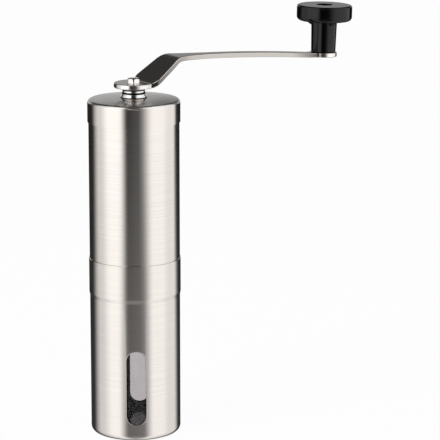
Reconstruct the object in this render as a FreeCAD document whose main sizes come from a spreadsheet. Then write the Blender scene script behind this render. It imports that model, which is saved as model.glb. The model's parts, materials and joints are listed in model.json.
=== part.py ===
import FreeCAD, Part
import math
import os
import re

import Sketcher

# Slim hand-cranked coffee grinder: a steel catch cup, a steel hopper tube that plugs into
# its mouth, a ceramic conical mill between them, a lid, and a crank with a turning knob.
# The origin is the centre of the cup's foot, +Z is up and the front window faces -Y.

SIZES = (
    # How far a cut runs past the face that it opens, and a buried root below the face it joins
    ("overcut", 1.0),
    ("root_depth", 0.2),
    # Cup: one drawn steel shell, its mouth expanded into a band that takes the hopper tube
    ("tube_radius", 23.0),
    ("sheet_wall", 0.4),
    ("foot_corner", 3.1),
    ("cup_height", 91.6),
    ("band_height", 19.4),
    ("flare_rise", 2.0),
    ("spigot_neck", 0.1),
    ("spigot_clearance", 0.06),
    ("window_width", 10.0),
    ("window_bottom", 8.5),
    ("window_height", 38.8),
    ("rear_window_turn", 5.6),
    # Liner: clear plastic cup that stands on a foot ring inside the shell
    ("liner_wall", 1.2),
    ("liner_clearance", 0.15),
    ("liner_floor_rise", 3.4),
    ("liner_floor", 1.6),
    ("liner_top_drop", 0.7),
    ("liner_corner", 2.2),
    # Hopper tube and lid
    ("hopper_height", 79.7),
    ("lid_clearance", 0.08),
    ("lid_skirt", 9.55),
    ("lid_corner", 1.8),
    ("lid_crown", 1.15),
    ("gasket_thickness", 1.55),
    ("gasket_width", 1.6),
    ("gasket_step", 0.35),
    ("gasket_clearance", 0.05),
    # Lid bush and its nut, each radius as a step out from the stem
    ("bush_wall", 1.14),
    ("bush_tip_step", 0.45),
    ("bush_waist_step", 0.7),
    ("bush_base_step", 1.65),
    ("bush_seat_margin", 0.35),
    ("bush_cone_height", 2.38),
    ("bush_height", 3.82),
    ("bush_stem_tail", 0.6),
    ("bush_edge", 0.3),
    ("bush_groove_depth", 0.32),
    ("bush_groove_width", 0.4),
    ("bush_hole_clearance", 0.05),
    ("bush_nut_wall", 1.0),
    ("bush_nut_thickness", 2.0),
    ("bush_nut_clearance", 0.02),
    # Shaft: round, with a six-sided post for the crank and a six-sided end for the burr
    ("shaft_radius", 4.0),
    ("running_clearance", 0.06),
    ("post_flat_depth", 1.0),
    ("post_stand", 2.3),
    ("post_chamfer", 0.5),
    ("crank_gap", 1.1),
    ("thread_step", 0.55),
    ("thread_clearance", 0.05),
    ("thread_chamfer", 0.4),
    # Burr carrier: flange, funnel, seat for the ring burr and three arms with a boss
    ("carrier_flange", 1.2),
    ("funnel_height", 15.8),
    ("funnel_lip", 0.9),
    ("seat_inset", 1.89),
    ("seat_wall", 2.75),
    ("seat_clearance", 0.06),
    ("boss_rise", 9.8),
    ("boss_height", 13.0),
    ("boss_wall", 1.6),
    ("arm_width", 3.0),
    ("arm_depth", 5.4),
    ("arm_rise", 0.4),
    ("arm_count", 3),
    ("clip_width", 6.0),
    ("clip_height", 3.0),
    ("clip_ledge", 1.0),
    ("clip_rise", 8.0),
    ("clip_clearance", 0.15),
    # Shaft bushes, washers and clip
    ("sleeve_wall", 1.0),
    ("sleeve_length", 5.0),
    ("sleeve_flange", 1.0),
    ("sleeve_flange_width", 2.2),
    ("washer_thickness", 0.6),
    ("clip_groove_depth", 0.6),
    ("clip_thickness", 1.0),
    ("clip_ring_width", 2.4),
    ("clip_gap_angle", 70.0),
    # Ceramic burrs: a ring with inside teeth round a cone with outside teeth
    ("ring_wall", 3.2),
    ("ring_height", 14.0),
    ("ring_rise", 1.4),
    ("grind_height", 4.9),
    ("grind_gap", 0.25),
    ("cone_overhang", 0.6),
    ("cone_rise", 3.4),
    ("cone_wall", 0.7),
    ("ring_fine_teeth", 36),
    ("ring_coarse_teeth", 9),
    ("ring_draft", 0.04),
    ("cone_fine_teeth", 30),
    ("cone_coarse_teeth", 7),
    ("cone_run_in", 3.0),
    ("tooth_land", 0.16),
    ("tooth_root", 0.42),
    ("fine_depth", 0.6),
    ("coarse_depth", 1.5),
    ("fine_twist", 9.0),
    ("coarse_twist", 48.0),
    # Lock ring and its screws
    ("lock_thickness", 2.0),
    ("lock_clearance", 0.8),
    ("lock_edge", 0.15),
    ("screw_radius", 0.75),
    ("screw_clearance", 0.02),
    ("screw_head_radius", 1.1),
    ("screw_head_clearance", 0.1),
    ("screw_head_depth", 0.9),
    ("screw_length", 7.0),
    ("screw_count", 3),
    # Burr hub, spring, adjuster dial and nut
    ("hub_wall", 1.9),
    ("hub_flange_width", 3.5),
    ("hub_flange", 1.4),
    ("hub_drop", 2.2),
    ("key_width", 2.0),
    ("key_height", 0.9),
    ("key_count", 3),
    ("key_clearance", 0.05),
    ("click_count", 18),
    ("click_width", 0.8),
    ("click_depth", 0.4),
    ("click_inset", 2.2),
    ("spring_wire", 0.9),
    ("spring_step", 0.6),
    ("spring_clearance", 0.45),
    ("spring_turns", 4.5),
    ("dial_rim", 3.1),
    ("dial_thickness", 6.0),
    ("dial_edge", 1.0),
    ("dial_top_edge", 0.6),
    ("dial_bore_clearance", 0.5),
    ("dial_lobes", 10),
    ("dial_lobe_radius", 2.2),
    ("dial_lobe_offset", 1.2),
    ("ridge_count", 3),
    ("ridge_height", 0.4),
    ("ridge_width", 0.7),
    ("ridge_inset", 0.3),
    ("nut_wall", 1.55),
    ("nut_roof", 1.0),
    ("nut_clearance", 0.05),
    ("shaft_tail", 3.6),
    # Crank arm: a flat bar, measured along its top face from the shaft's axis
    ("crank_angle", 30.0),
    ("bar_thickness", 2.4),
    ("eye_radius", 10.0),
    ("socket_clearance", 0.05),
    ("bend_setback", 2.5),
    ("bend_radius", 4.5),
    ("crest_run", 16.7),
    ("crest_rise", 11.9),
    ("crest_radius", 10.0),
    ("bow_camber", 1.68),
    ("bow_straight", 7.8),
    ("dip_setback", 9.1),
    ("dip_rise", 6.1),
    ("dip_radius", 45.0),
    ("knob_reach", 116.1),
    ("knob_lean", 1.6),
    ("pad_flare", 3.8),
    ("bar_width", 6.6),
    ("flank_reach", 8.3),
    ("flank_flare", 0.9),
    ("flank_slope", 30.0),
    ("flank_rounding", 3.0),
    ("waist_rounding", 1.2),
    ("shoulder_reach", 19.5),
    ("shoulder_inset", 1.0),
    ("neck_run", 10.0),
    ("neck_flare", 1.9),
    ("slim_run", 13.0),
    ("shoulder_rounding", 20.0),
    ("slim_rounding", 60.0),
    ("pad_rounding", 4.0),
    ("bar_edge", 0.45),
    ("plan_margin", 3.0),
    # Knob and the pin that it turns on
    ("stem_foot_radius", 6.4),
    ("stem_neck_radius", 6.75),
    ("knob_height", 24.7),
    ("head_radius", 14.5),
    ("head_thickness", 8.3),
    ("head_top_edge", 1.1),
    ("head_foot_edge", 2.2),
    ("stem_edge", 0.4),
    ("neck_fillet", 0.8),
    ("knob_gap", 0.1),
    ("web_width", 2.6),
    ("web_inset", 4.4),
    ("web_drop", 2.2),
    ("web_toe", 0.5),
    ("web_root", 1.0),
    ("web_angle", 151.0),
    ("web_count", 3),
    ("recess_ledge", 0.4),
    ("recess_depth", 1.2),
    ("recess_edge", 0.3),
    ("cap_thickness", 1.2),
    ("cap_clearance", 0.05),
    ("cap_edge", 0.2),
    ("pin_radius", 3.0),
    ("pin_head_step", 0.6),
    ("pin_head_height", 1.6),
    ("pin_head_room", 3.2),
    ("pin_head_edge", 0.4),
    ("pin_head_clearance", 0.2),
    ("rivet_step", 0.8),
    ("rivet_flare", 0.8),
)

# Radii and widths that follow from the sizes, each written once
TUBE_INNER = "(tube_radius - sheet_wall)"
SPIGOT_OUTER = "(tube_radius - spigot_neck)"
SPIGOT_INNER = f"({SPIGOT_OUTER} - sheet_wall)"
BAND_INNER = f"({SPIGOT_OUTER} + spigot_clearance)"
BAND_OUTER = f"({BAND_INNER} + sheet_wall)"
LID_INNER = "(tube_radius + lid_clearance)"
LID_OUTER = f"({LID_INNER} + sheet_wall)"
LID_BREAK = f"({LID_OUTER} - lid_corner)"
CROWN_RADIUS = f"(({LID_BREAK} ^ 2 + lid_crown ^ 2) / (2 * lid_crown))"
CROWN_INNER = f"({CROWN_RADIUS} - sheet_wall)"
SHAFT_BORE = "(shaft_radius + running_clearance)"
POST_FLATS = "(2 * (shaft_radius - post_flat_depth))"
POST_CORNER = f"({POST_FLATS} / 2 / cos(30 deg))"
THREAD = f"({POST_FLATS} / 2 - thread_step)"
SLEEVE_OUTER = f"({SHAFT_BORE} + sleeve_wall)"
SLEEVE_FLANGE = f"({SHAFT_BORE} + sleeve_flange_width)"
BOSS_OUTER = f"({SLEEVE_OUTER} + boss_wall)"
BUSH_STEM = f"({SHAFT_BORE} + bush_wall)"
BUSH_TIP = f"({BUSH_STEM} + bush_tip_step)"
BUSH_BASE = f"({BUSH_STEM} + bush_base_step)"
BUSH_RECESS = f"({BUSH_BASE} + bush_seat_margin)"
BUSH_NUT_FLATS = f"(2 * ({BUSH_STEM} + bush_nut_wall))"
SEAT_OUTER = f"({SPIGOT_INNER} - seat_inset)"
SEAT_INNER = f"({SEAT_OUTER} - seat_wall)"
RING_OUTER = f"({SEAT_INNER} - seat_clearance)"
CONE_FOOT_RADIUS = f"({RING_OUTER} - ring_wall)"
LOCK_INNER = f"({CONE_FOOT_RADIUS} + lock_clearance)"
SCREW_CIRCLE = f"({SEAT_INNER} + seat_wall / 2)"
HUB_RADIUS = f"({POST_FLATS} / 2 + hub_wall)"
HUB_FLANGE = f"({HUB_RADIUS} + hub_flange_width)"
SPRING_RADIUS = f"({HUB_RADIUS} + spring_step)"
SPRING_POCKET = f"({SPRING_RADIUS} + spring_wire / 2 + spring_clearance)"
CONE_TOP_RADIUS = f"({SPRING_POCKET} + cone_wall + coarse_depth)"
DIAL_RADIUS = f"({HUB_FLANGE} + dial_rim)"
NUT_FLATS = f"(2 * ({THREAD} + nut_wall))"
PAD_RADIUS = "(bar_width / 2 + pad_flare)"
RIVET_RADIUS = "(pin_radius - rivet_step)"
PIN_HEAD = "(pin_radius + pin_head_step)"
PIN_HEAD_BORE = f"({PIN_HEAD} + pin_head_clearance)"
RECESS_RADIUS = f"({PIN_HEAD_BORE} + recess_ledge)"

# Levels above the cup's foot, each written once
BAND_FOOT = "(cup_height - band_height)"
LEDGE = f"({BAND_FOOT} + flare_rise)"
SPIGOT_END = f"({LEDGE} + carrier_flange)"
HOPPER_TOP = "(cup_height + hopper_height)"
LID_EDGE = f"({HOPPER_TOP} + gasket_thickness + sheet_wall)"
CROWN_CENTRE = f"({LID_EDGE} + lid_crown - {CROWN_RADIUS})"
BUSH_SEAT = f"({CROWN_CENTRE} + sqrt({CROWN_RADIUS} ^ 2 - {BUSH_RECESS} ^ 2))"
BUSH_TOP = f"({BUSH_SEAT} + bush_height)"
EYE_FOOT = f"({BUSH_TOP} + crank_gap)"
EYE_TOP = f"({EYE_FOOT} + bar_thickness)"
POST_TOP = f"({EYE_TOP} + post_stand)"
RING_TOP = f"({LEDGE} + ring_rise)"
RING_FOOT = f"({RING_TOP} - ring_height)"
GRIND_TOP = f"({RING_FOOT} + grind_height)"
CONE_FOOT = f"({RING_FOOT} - cone_overhang)"
CONE_TOP = f"({RING_TOP} + cone_rise)"
BOSS_FOOT = f"({LEDGE} + boss_rise)"
BOSS_TOP = f"({BOSS_FOOT} + boss_height)"
SPRING_TOP = f"({BOSS_FOOT} - sleeve_flange - washer_thickness)"
CLIP_FOOT = f"({BOSS_TOP} + sleeve_flange + washer_thickness)"
HUB_TOP = f"({RING_TOP} - hub_drop)"
HUB_FOOT = f"({CONE_FOOT} - hub_flange)"
DIAL_TOP = f"({HUB_FOOT} - ridge_height)"
DIAL_FOOT = f"({HUB_FOOT} - dial_thickness)"
NUT_TOP = f"({DIAL_TOP} - nut_roof)"
SHAFT_FOOT = f"({DIAL_FOOT} - shaft_tail)"
LOCK_FOOT = f"({RING_FOOT} - lock_thickness)"
SCREW_FOOT = f"({LOCK_FOOT} + root_depth)"
SCREW_END = f"({RING_FOOT} + screw_length - root_depth)"

# The crank's top line from the side, as distances out from the shaft and up from the eye.
# The bow's corner stands half way along the arm, above the chord by the camber, and its
# rounding leaves a short straight at each end.
LEAN = "tan(knob_lean * 1 deg)"
BEND_START = f"({POST_FLATS} / 2 + bend_setback)"
CREST_REACH = f"({BEND_START} + crest_run)"
DIP_REACH = "(knob_reach - dip_setback)"
BOW_REACH = f"(({CREST_REACH} + {DIP_REACH}) / 2)"
BOW_RISE = "((crest_rise + dip_rise) / 2 + bow_camber)"
BOW_LEG = f"(({DIP_REACH} - {CREST_REACH}) / 2)"
BOW_TURN = (
    f"(atan(({BOW_RISE} - dip_rise) / {BOW_LEG}) + atan(({BOW_RISE} - crest_rise) / {BOW_LEG}))"
)
BOW_RADIUS = f"(({BOW_LEG} - bow_straight) / tan({BOW_TURN} / 2))"
KNOB_SEAT = f"({EYE_TOP} + dip_rise - dip_setback * {LEAN})"

# Levels above the crank's pad, along the knob's leaning axis
KNOB_TOP = "(knob_gap + knob_height)"
HEAD_FOOT = f"({KNOB_TOP} - head_thickness)"
CAP_TOP = f"({KNOB_TOP} - recess_depth)"
CAP_FOOT = f"({CAP_TOP} - cap_thickness)"
PIN_HEAD_DECK = f"({CAP_FOOT} - pin_head_room)"
PIN_HEAD_SEAT = f"({PIN_HEAD_DECK} + knob_gap / 2)"

# Steps between the sections of the burrs' fine and feeding teeth
FINE_STEPS = 2
CONE_FEED_STEPS = 5
RING_FEED_STEPS = 3

# Points measured on each turn of the spring for its least gap
POINTS_PER_TURN = 48

# How near two points count as one, in mm, and how upright or level a face counts as one
SAME_SPOT = 1e-3
UPRIGHT = 0.05
LEVEL = 0.5

doc = FreeCAD.newDocument("coffee_grinder")
sheet = doc.addObject("Spreadsheet::Sheet", "sizes")
for row, (alias, size) in enumerate(SIZES, start=1):
    sheet.set(f"A{row}", str(size))
    sheet.setAlias(f"A{row}", alias)
doc.recompute()

NAMES = re.compile(r"\b(" + "|".join(alias for alias, size in SIZES) + r")\b")


def linked(text):
    """Turn a formula in sheet names into an expression on the sheet."""
    return NAMES.sub(r"sizes.\1", text)


def value(text):
    """Work out a formula in sheet names now."""
    result = sheet.evalExpression(linked(text))
    return float(getattr(result, "Value", result))


def new_body(label):
    """Start a piece as a body of its own."""
    body = doc.addObject("PartDesign::Body", label)
    body.Label = label
    return body


def origin_feature(body, role):
    """Find a base plane or axis of a body."""
    return next(item for item in body.Origin.OriginFeatures if item.Role == role)


def new_sketch(body, label, plane="XZ_Plane", base=None, axis=None, angle=None):
    """Attach an empty sketch to a base plane, moved by base and turned by angle about axis."""
    sketch = body.newObject("Sketcher::SketchObject", label)
    sketch.AttachmentSupport = [(origin_feature(body, plane), "")]
    sketch.MapMode = "FlatFace"
    if axis:
        turn = FreeCAD.Rotation(FreeCAD.Vector(*axis), value(angle))
        sketch.AttachmentOffset = FreeCAD.Placement(FreeCAD.Vector(), turn)
        sketch.setExpression("AttachmentOffset.Rotation.Angle", linked(f"({angle}) * 1 deg"))
    for name, text in zip("xyz", base or ()):
        if text != "0":
            sketch.setExpression(f"AttachmentOffset.Base.{name}", linked(text))
    return sketch


def pin_point(sketch, edge, end, spot):
    """Bind one end of an edge to a pair of formulas."""
    for kind, axis, text in (("DistanceX", -2, spot[0]), ("DistanceY", -1, spot[1])):
        if text == "0":
            sketch.addConstraint(Sketcher.Constraint("PointOnObject", edge, end, axis))
            continue
        index = sketch.addConstraint(Sketcher.Constraint(kind, edge, end, value(text)))
        sketch.setExpression(f"Constraints[{index}]", linked(text))


def bind_radius(sketch, edge, text):
    """Bind an arc's or a circle's radius to a formula."""
    index = sketch.addConstraint(Sketcher.Constraint("Radius", edge, value(text)))
    sketch.setExpression(f"Constraints[{index}]", linked(text))


def arc_between(start, end, radius, side):
    """A minor arc; side is +1 where its centre is to the left of the way, -1 to the right."""
    chord = end - start
    left = FreeCAD.Vector(-chord.y, chord.x, 0).normalize()
    rise = math.sqrt(max(radius ** 2 - (chord.Length / 2) ** 2, 0.0))
    centre = (start + end) * 0.5 + left * (side * rise)
    first, last = (start, end) if side > 0 else (end, start)
    spans = [math.atan2(spot.y - centre.y, spot.x - centre.x) for spot in (first, last)]
    circle = Part.Circle(centre, FreeCAD.Vector(0, 0, 1), radius)
    return Part.ArcOfCircle(circle, *spans)


def draw_outline(sketch, corners):
    """Draw a closed outline. A corner is (x, y), or (x, y, radius, side) before an arc."""
    spots = [FreeCAD.Vector(value(corner[0]), value(corner[1]), 0) for corner in corners]
    ends = []
    for index, corner in enumerate(corners):
        start = spots[index]
        end = spots[(index + 1) % len(spots)]
        if len(corner) == 2:
            edge = sketch.addGeometry(Part.LineSegment(start, end), False)
            ends.append((edge, 1, 2))
            continue
        arc = arc_between(start, end, value(corner[2]), corner[3])
        edge = sketch.addGeometry(arc, False)
        ends.append((edge, 1, 2) if corner[3] > 0 else (edge, 2, 1))
    for index, corner in enumerate(corners):
        edge, first, last = ends[index]
        following, following_first, following_last = ends[(index + 1) % len(ends)]
        sketch.addConstraint(
            Sketcher.Constraint("Coincident", edge, last, following, following_first)
        )
        pin_point(sketch, edge, first, corner[:2])
    for index, corner in enumerate(corners):
        if len(corner) == 4:
            bind_radius(sketch, ends[index][0], corner[2])


def draw_circle(sketch, x, y, radius):
    """Draw a circle bound to formulas."""
    centre = FreeCAD.Vector(value(x), value(y), 0)
    circle = Part.Circle(centre, FreeCAD.Vector(0, 0, 1), value(radius))
    edge = sketch.addGeometry(circle, False)
    pin_point(sketch, edge, 3, (x, y))
    bind_radius(sketch, edge, radius)


def draw_hexagon(sketch, flats, first_corner=0):
    """Draw a hexagon about the sketch's origin, its first corner at an angle in degrees."""
    reach = f"(({flats}) / 2 / cos(30 deg))"
    draw_outline(
        sketch,
        [
            (f"{reach} * cos({angle} deg)", f"{reach} * sin({angle} deg)")
            for angle in range(first_corner, first_corner + 360, 60)
        ],
    )


def round_corner(spots, index, radius):
    """Work out the arc that rounds a corner: where it starts and ends, and its side."""
    spot = spots[index]
    back = (spots[index - 1] - spot).normalize()
    onward = (spots[(index + 1) % len(spots)] - spot).normalize()
    setback = radius / math.tan(math.acos(back.dot(onward)) / 2)
    side = 1 if back.cross(onward).z < 0 else -1
    return spot + back * setback, spot + onward * setback, side


def draw_rounded(sketch, corners, closed=True):
    """Draw lines through corners. A corner is (x, y), or (x, y, radius) where it is rounded."""
    spots = [FreeCAD.Vector(value(corner[0]), value(corner[1]), 0) for corner in corners]
    turns = []
    for index, corner in enumerate(corners):
        if len(corner) == 3:
            turns.append(round_corner(spots, index, value(corner[2])))
        else:
            turns.append((spots[index], spots[index], 0))
    lines = []
    for index in range(len(corners) if closed else len(corners) - 1):
        line = Part.LineSegment(turns[index][1], turns[(index + 1) % len(corners)][0])
        lines.append(sketch.addGeometry(line, False))
    for index, corner in enumerate(corners):
        before = lines[index - 1]
        after = lines[index] if index < len(lines) else None
        if len(corner) == 3:
            arrive, leave, side = turns[index]
            arc = sketch.addGeometry(arc_between(arrive, leave, value(corner[2]), side), False)
            first, last = (1, 2) if side > 0 else (2, 1)
            sketch.addConstraint(Sketcher.Constraint("Tangent", before, 2, arc, first))
            sketch.addConstraint(Sketcher.Constraint("Tangent", arc, last, after, 1))
            point = sketch.addGeometry(Part.Point(spots[index]), True)
            pin_point(sketch, point, 1, corner[:2])
            for line in (before, after):
                sketch.addConstraint(Sketcher.Constraint("PointOnObject", point, 1, line))
            bind_radius(sketch, arc, corner[2])
        elif after is None:
            pin_point(sketch, before, 2, corner[:2])
        else:
            pin_point(sketch, after, 1, corner[:2])
            if closed or index:
                sketch.addConstraint(Sketcher.Constraint("Coincident", before, 2, after, 1))


def finish_feature(body, feature):
    """Recompute the body with its new feature as the tip."""
    body.Tip = feature
    doc.recompute()
    return feature


def revolve(body, sketch):
    """Turn a profile right round the body's Z axis."""
    feature = body.newObject("PartDesign::Revolution", "turned")
    feature.Profile = sketch
    feature.ReferenceAxis = (sketch, ["V_Axis"])
    feature.Angle = 360
    return finish_feature(body, feature)


def pad(body, sketch, length, midplane=False, back=False):
    """Raise a sketch to a length, both ways alike with midplane, against its normal with back."""
    feature = body.newObject("PartDesign::Pad", "pad")
    feature.Profile = sketch
    feature.setExpression("Length", linked(length))
    feature.SideType = "Symmetric" if midplane else "One side"
    feature.Reversed = back
    return finish_feature(body, feature)


def pocket(body, sketch, length, midplane=False, back=False):
    """Cut a sketch to a depth, and refuse a cut that removes nothing."""
    before = body.Shape.Volume
    feature = body.newObject("PartDesign::Pocket", "pocket")
    feature.Profile = sketch
    feature.setExpression("Length", linked(length))
    feature.SideType = "Symmetric" if midplane else "One side"
    feature.Reversed = back
    finish_feature(body, feature)
    if not body.Shape.Volume < before:
        raise RuntimeError(f"{body.Label}: {sketch.Label} cuts nothing")
    return feature


def polar_pattern(body, feature, count):
    """Repeat a feature evenly round the body's Z axis."""
    pattern = body.newObject("PartDesign::PolarPattern", "round_pattern")
    pattern.Originals = [feature]
    pattern.Axis = (origin_feature(body, "Z_Axis"), [""])
    pattern.Angle = 360
    pattern.setExpression("Occurrences", linked(count))
    return finish_feature(body, pattern)


def turned_body(label, corners):
    """A body made by turning one closed profile."""
    body = new_body(label)
    sketch = new_sketch(body, label + "_profile")
    draw_outline(sketch, corners)
    revolve(body, sketch)
    return body


def cup_shell():
    """Drawn cup with a rounded foot, an expanded mouth band and two slotted windows."""
    inner_corner = "(foot_corner - sheet_wall)"
    body = turned_body(
        "cup_shell",
        [
            ("0", "0"),
            ("tube_radius - foot_corner", "0", "foot_corner", 1),
            ("tube_radius", "foot_corner"),
            ("tube_radius", BAND_FOOT),
            (BAND_OUTER, LEDGE),
            (BAND_OUTER, "cup_height"),
            (BAND_INNER, "cup_height"),
            (BAND_INNER, LEDGE),
            (TUBE_INNER, LEDGE),
            (TUBE_INNER, f"sheet_wall + {inner_corner}", inner_corner, -1),
            (f"{TUBE_INNER} - {inner_corner}", "sheet_wall"),
            ("0", "sheet_wall"),
        ],
    )
    low = "(window_bottom + window_width / 2)"
    high = "(window_bottom + window_height - window_width / 2)"
    windows = (("front_window", "0", True), ("rear_window", "-rear_window_turn", False))
    for label, angle, back in windows:
        sketch = new_sketch(body, label, axis=(0, 1, 0), angle=angle)
        draw_outline(
            sketch,
            [
                ("window_width / 2", low),
                ("window_width / 2", high, "window_width / 2", 1),
                ("0", "window_bottom + window_height", "window_width / 2", 1),
                ("-window_width / 2", high),
                ("-window_width / 2", low, "window_width / 2", 1),
                ("0", "window_bottom", "window_width / 2", 1),
            ],
        )
        pocket(body, sketch, "tube_radius + overcut", back=back)
    return body


def cup_liner():
    """Clear cup that stands on its foot ring and stops below the mouth's shoulder."""
    outer = f"({TUBE_INNER} - liner_clearance)"
    inner = f"({outer} - liner_wall)"
    floor_foot = "(sheet_wall + liner_floor_rise)"
    floor_top = f"({floor_foot} + liner_floor)"
    ring_outer = f"({TUBE_INNER} - foot_corner)"
    top = f"({BAND_FOOT} - liner_top_drop)"
    return turned_body(
        "cup_liner",
        [
            ("0", floor_foot),
            (f"{ring_outer} - liner_wall", floor_foot),
            (f"{ring_outer} - liner_wall", "sheet_wall"),
            (ring_outer, "sheet_wall"),
            (ring_outer, floor_foot),
            (f"{outer} - liner_wall", floor_foot),
            (outer, f"{floor_foot} + liner_wall"),
            (outer, top),
            (inner, top),
            (inner, f"{floor_top} + liner_corner", "liner_corner", -1),
            (f"{inner} - liner_corner", floor_top),
            ("0", floor_top),
        ],
    )


def hopper_tube():
    """Straight steel tube whose lower end is necked to plug into the cup's band."""
    step = "(cup_height + 3 * spigot_neck)"
    body = turned_body(
        "hopper_tube",
        [
            (SPIGOT_INNER, SPIGOT_END),
            (SPIGOT_OUTER, SPIGOT_END),
            (SPIGOT_OUTER, "cup_height"),
            ("tube_radius", step),
            ("tube_radius", HOPPER_TOP),
            (TUBE_INNER, HOPPER_TOP),
            (TUBE_INNER, step),
            (SPIGOT_INNER, "cup_height"),
        ],
    )
    sketch = new_sketch(body, "clip_window", plane="YZ_Plane")
    half = "(clip_width / 2 + clip_clearance)"
    low = f"({LEDGE} + clip_rise - clip_clearance)"
    high = f"({LEDGE} + clip_rise + clip_height + clip_clearance)"
    draw_outline(
        sketch,
        [(f"-{half}", low), (half, low), (half, high), (f"-{half}", high)],
    )
    window = pocket(body, sketch, "tube_radius", back=True)
    polar_pattern(body, window, "arm_count")
    return body


def burr_carrier():
    """Moulded carrier: flange under the tube, funnel, ring seat, arms, boss and clips."""
    wall_outer = f"({SPIGOT_INNER} - seat_clearance)"
    funnel_top = f"({LEDGE} + funnel_height)"
    body = turned_body(
        "burr_carrier",
        [
            (SEAT_INNER, RING_FOOT),
            (SEAT_OUTER, RING_FOOT),
            (SEAT_OUTER, LEDGE),
            (SPIGOT_OUTER, LEDGE),
            (SPIGOT_OUTER, SPIGOT_END),
            (wall_outer, SPIGOT_END),
            (wall_outer, funnel_top),
            (f"{wall_outer} - funnel_lip", funnel_top),
            (CONE_FOOT_RADIUS, f"{RING_TOP} + carrier_flange"),
            (CONE_FOOT_RADIUS, RING_TOP),
            (SEAT_INNER, RING_TOP),
        ],
    )
    boss = new_sketch(body, "boss", plane="XY_Plane", base=("0", "0", BOSS_FOOT))
    draw_circle(boss, "0", "0", BOSS_OUTER)
    pad(body, boss, "boss_height")
    arm = new_sketch(body, "arm", plane="YZ_Plane")
    arm_foot = f"({BOSS_FOOT} + arm_rise)"
    draw_outline(
        arm,
        [
            ("-arm_width / 2", arm_foot),
            ("arm_width / 2", arm_foot),
            ("arm_width / 2", f"{arm_foot} + arm_depth - arm_width / 2"),
            ("0", f"{arm_foot} + arm_depth"),
            ("-arm_width / 2", f"{arm_foot} + arm_depth - arm_width / 2"),
        ],
    )
    arms = pad(body, arm, f"{wall_outer} - funnel_lip / 2")
    polar_pattern(body, arms, "arm_count")
    clip = new_sketch(body, "clip", plane="XZ_Plane")
    clip_foot = f"({LEDGE} + clip_rise)"
    clip_reach = f"sqrt({SPIGOT_OUTER} ^ 2 - (clip_width / 2) ^ 2)"
    draw_outline(
        clip,
        [
            (f"{wall_outer} - funnel_lip", clip_foot),
            (clip_reach, clip_foot),
            (clip_reach, f"{clip_foot} + clip_ledge"),
            (f"{wall_outer} - funnel_lip", f"{clip_foot} + clip_height"),
        ],
    )
    clips = pad(body, clip, "clip_width", midplane=True)
    polar_pattern(body, clips, "arm_count")
    bore = new_sketch(body, "bore", plane="XY_Plane", base=("0", "0", BOSS_FOOT))
    draw_circle(bore, "0", "0", SLEEVE_OUTER)
    pocket(body, bore, "boss_height", back=True)
    hole = new_sketch(body, "screw_hole", plane="XY_Plane", base=("0", "0", RING_FOOT))
    draw_circle(hole, SCREW_CIRCLE, "0", "screw_radius + screw_clearance")
    holes = pocket(body, hole, "screw_length", back=True)
    polar_pattern(body, holes, "screw_count")
    return body


def lock_ring():
    """Flat ring that holds the ring burr up, countersunk for three screws."""
    body = turned_body(
        "burr_lock_ring",
        [
            (LOCK_INNER, LOCK_FOOT),
            (f"{SEAT_OUTER} - lock_edge", LOCK_FOOT),
            (SEAT_OUTER, f"{LOCK_FOOT} + lock_edge"),
            (SEAT_OUTER, RING_FOOT),
            (LOCK_INNER, RING_FOOT),
        ],
    )
    for label, radius, depth in (
        ("screw_hole", "screw_radius + screw_head_clearance", "lock_thickness"),
        ("screw_seat", "screw_head_radius + screw_head_clearance", "screw_head_depth + root_depth"),
    ):
        hole = new_sketch(body, label, plane="XY_Plane", base=("0", "0", LOCK_FOOT))
        draw_circle(hole, SCREW_CIRCLE, "0", radius)
        holes = pocket(body, hole, depth, back=True)
        polar_pattern(body, holes, "screw_count")
    return body


def lock_ring_screws():
    """Small screws, one group of separate solids."""
    screws = []
    count = round(value("screw_count"))
    reach = value(SCREW_CIRCLE)
    head = value("screw_head_depth")
    length = value(f"{SCREW_END} - {SCREW_FOOT} - screw_head_depth")
    for index in range(count):
        angle = 2 * math.pi * index / count
        spot = FreeCAD.Vector(reach * math.cos(angle), reach * math.sin(angle), value(SCREW_FOOT))
        cap = Part.makeCylinder(value("screw_head_radius"), head, spot)
        shank = Part.makeCylinder(value("screw_radius"), length, spot + FreeCAD.Vector(0, 0, head))
        screws.append(cap.fuse(shank).removeSplitter())
    feature = doc.addObject("Part::Feature", "lock_ring_screws")
    feature.Label = "lock_ring_screws"
    feature.Shape = Part.makeCompound(screws)
    return feature


def shaft_bush(label, flange_foot, sleeve_up):
    """Flanged bush: the flange bears on the boss's end and the sleeve goes into it."""
    flange_top = f"({flange_foot} + sleeve_flange)"
    end = f"({flange_top} + sleeve_length)" if sleeve_up else f"({flange_foot} - sleeve_length)"
    root = flange_top if sleeve_up else flange_foot
    other = flange_foot if sleeve_up else flange_top
    return turned_body(
        label,
        [
            (SHAFT_BORE, other),
            (SLEEVE_FLANGE, other),
            (SLEEVE_FLANGE, root),
            (SLEEVE_OUTER, root),
            (SLEEVE_OUTER, end),
            (SHAFT_BORE, end),
        ],
    )


def flat_ring(label, inner, outer, foot, top):
    """Plain washer or ring."""
    return turned_body(label, [(inner, foot), (outer, foot), (outer, top), (inner, top)])


def retaining_clip():
    """Open ring that snaps into the shaft's groove and carries the shaft on the bush."""
    body = flat_ring(
        "retaining_clip",
        "shaft_radius - clip_groove_depth",
        "shaft_radius + clip_ring_width",
        CLIP_FOOT,
        f"{CLIP_FOOT} + clip_thickness",
    )
    reach = "(shaft_radius + clip_ring_width + overcut)"
    gap = new_sketch(body, "gap", plane="XY_Plane", base=("0", "0", CLIP_FOOT))
    draw_outline(
        gap,
        [
            ("0", "0"),
            (reach, f"-{reach} * tan(clip_gap_angle * 0.5 deg)"),
            (reach, f"{reach} * tan(clip_gap_angle * 0.5 deg)"),
        ],
    )
    pocket(body, gap, "clip_thickness", back=True)
    return body


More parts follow.
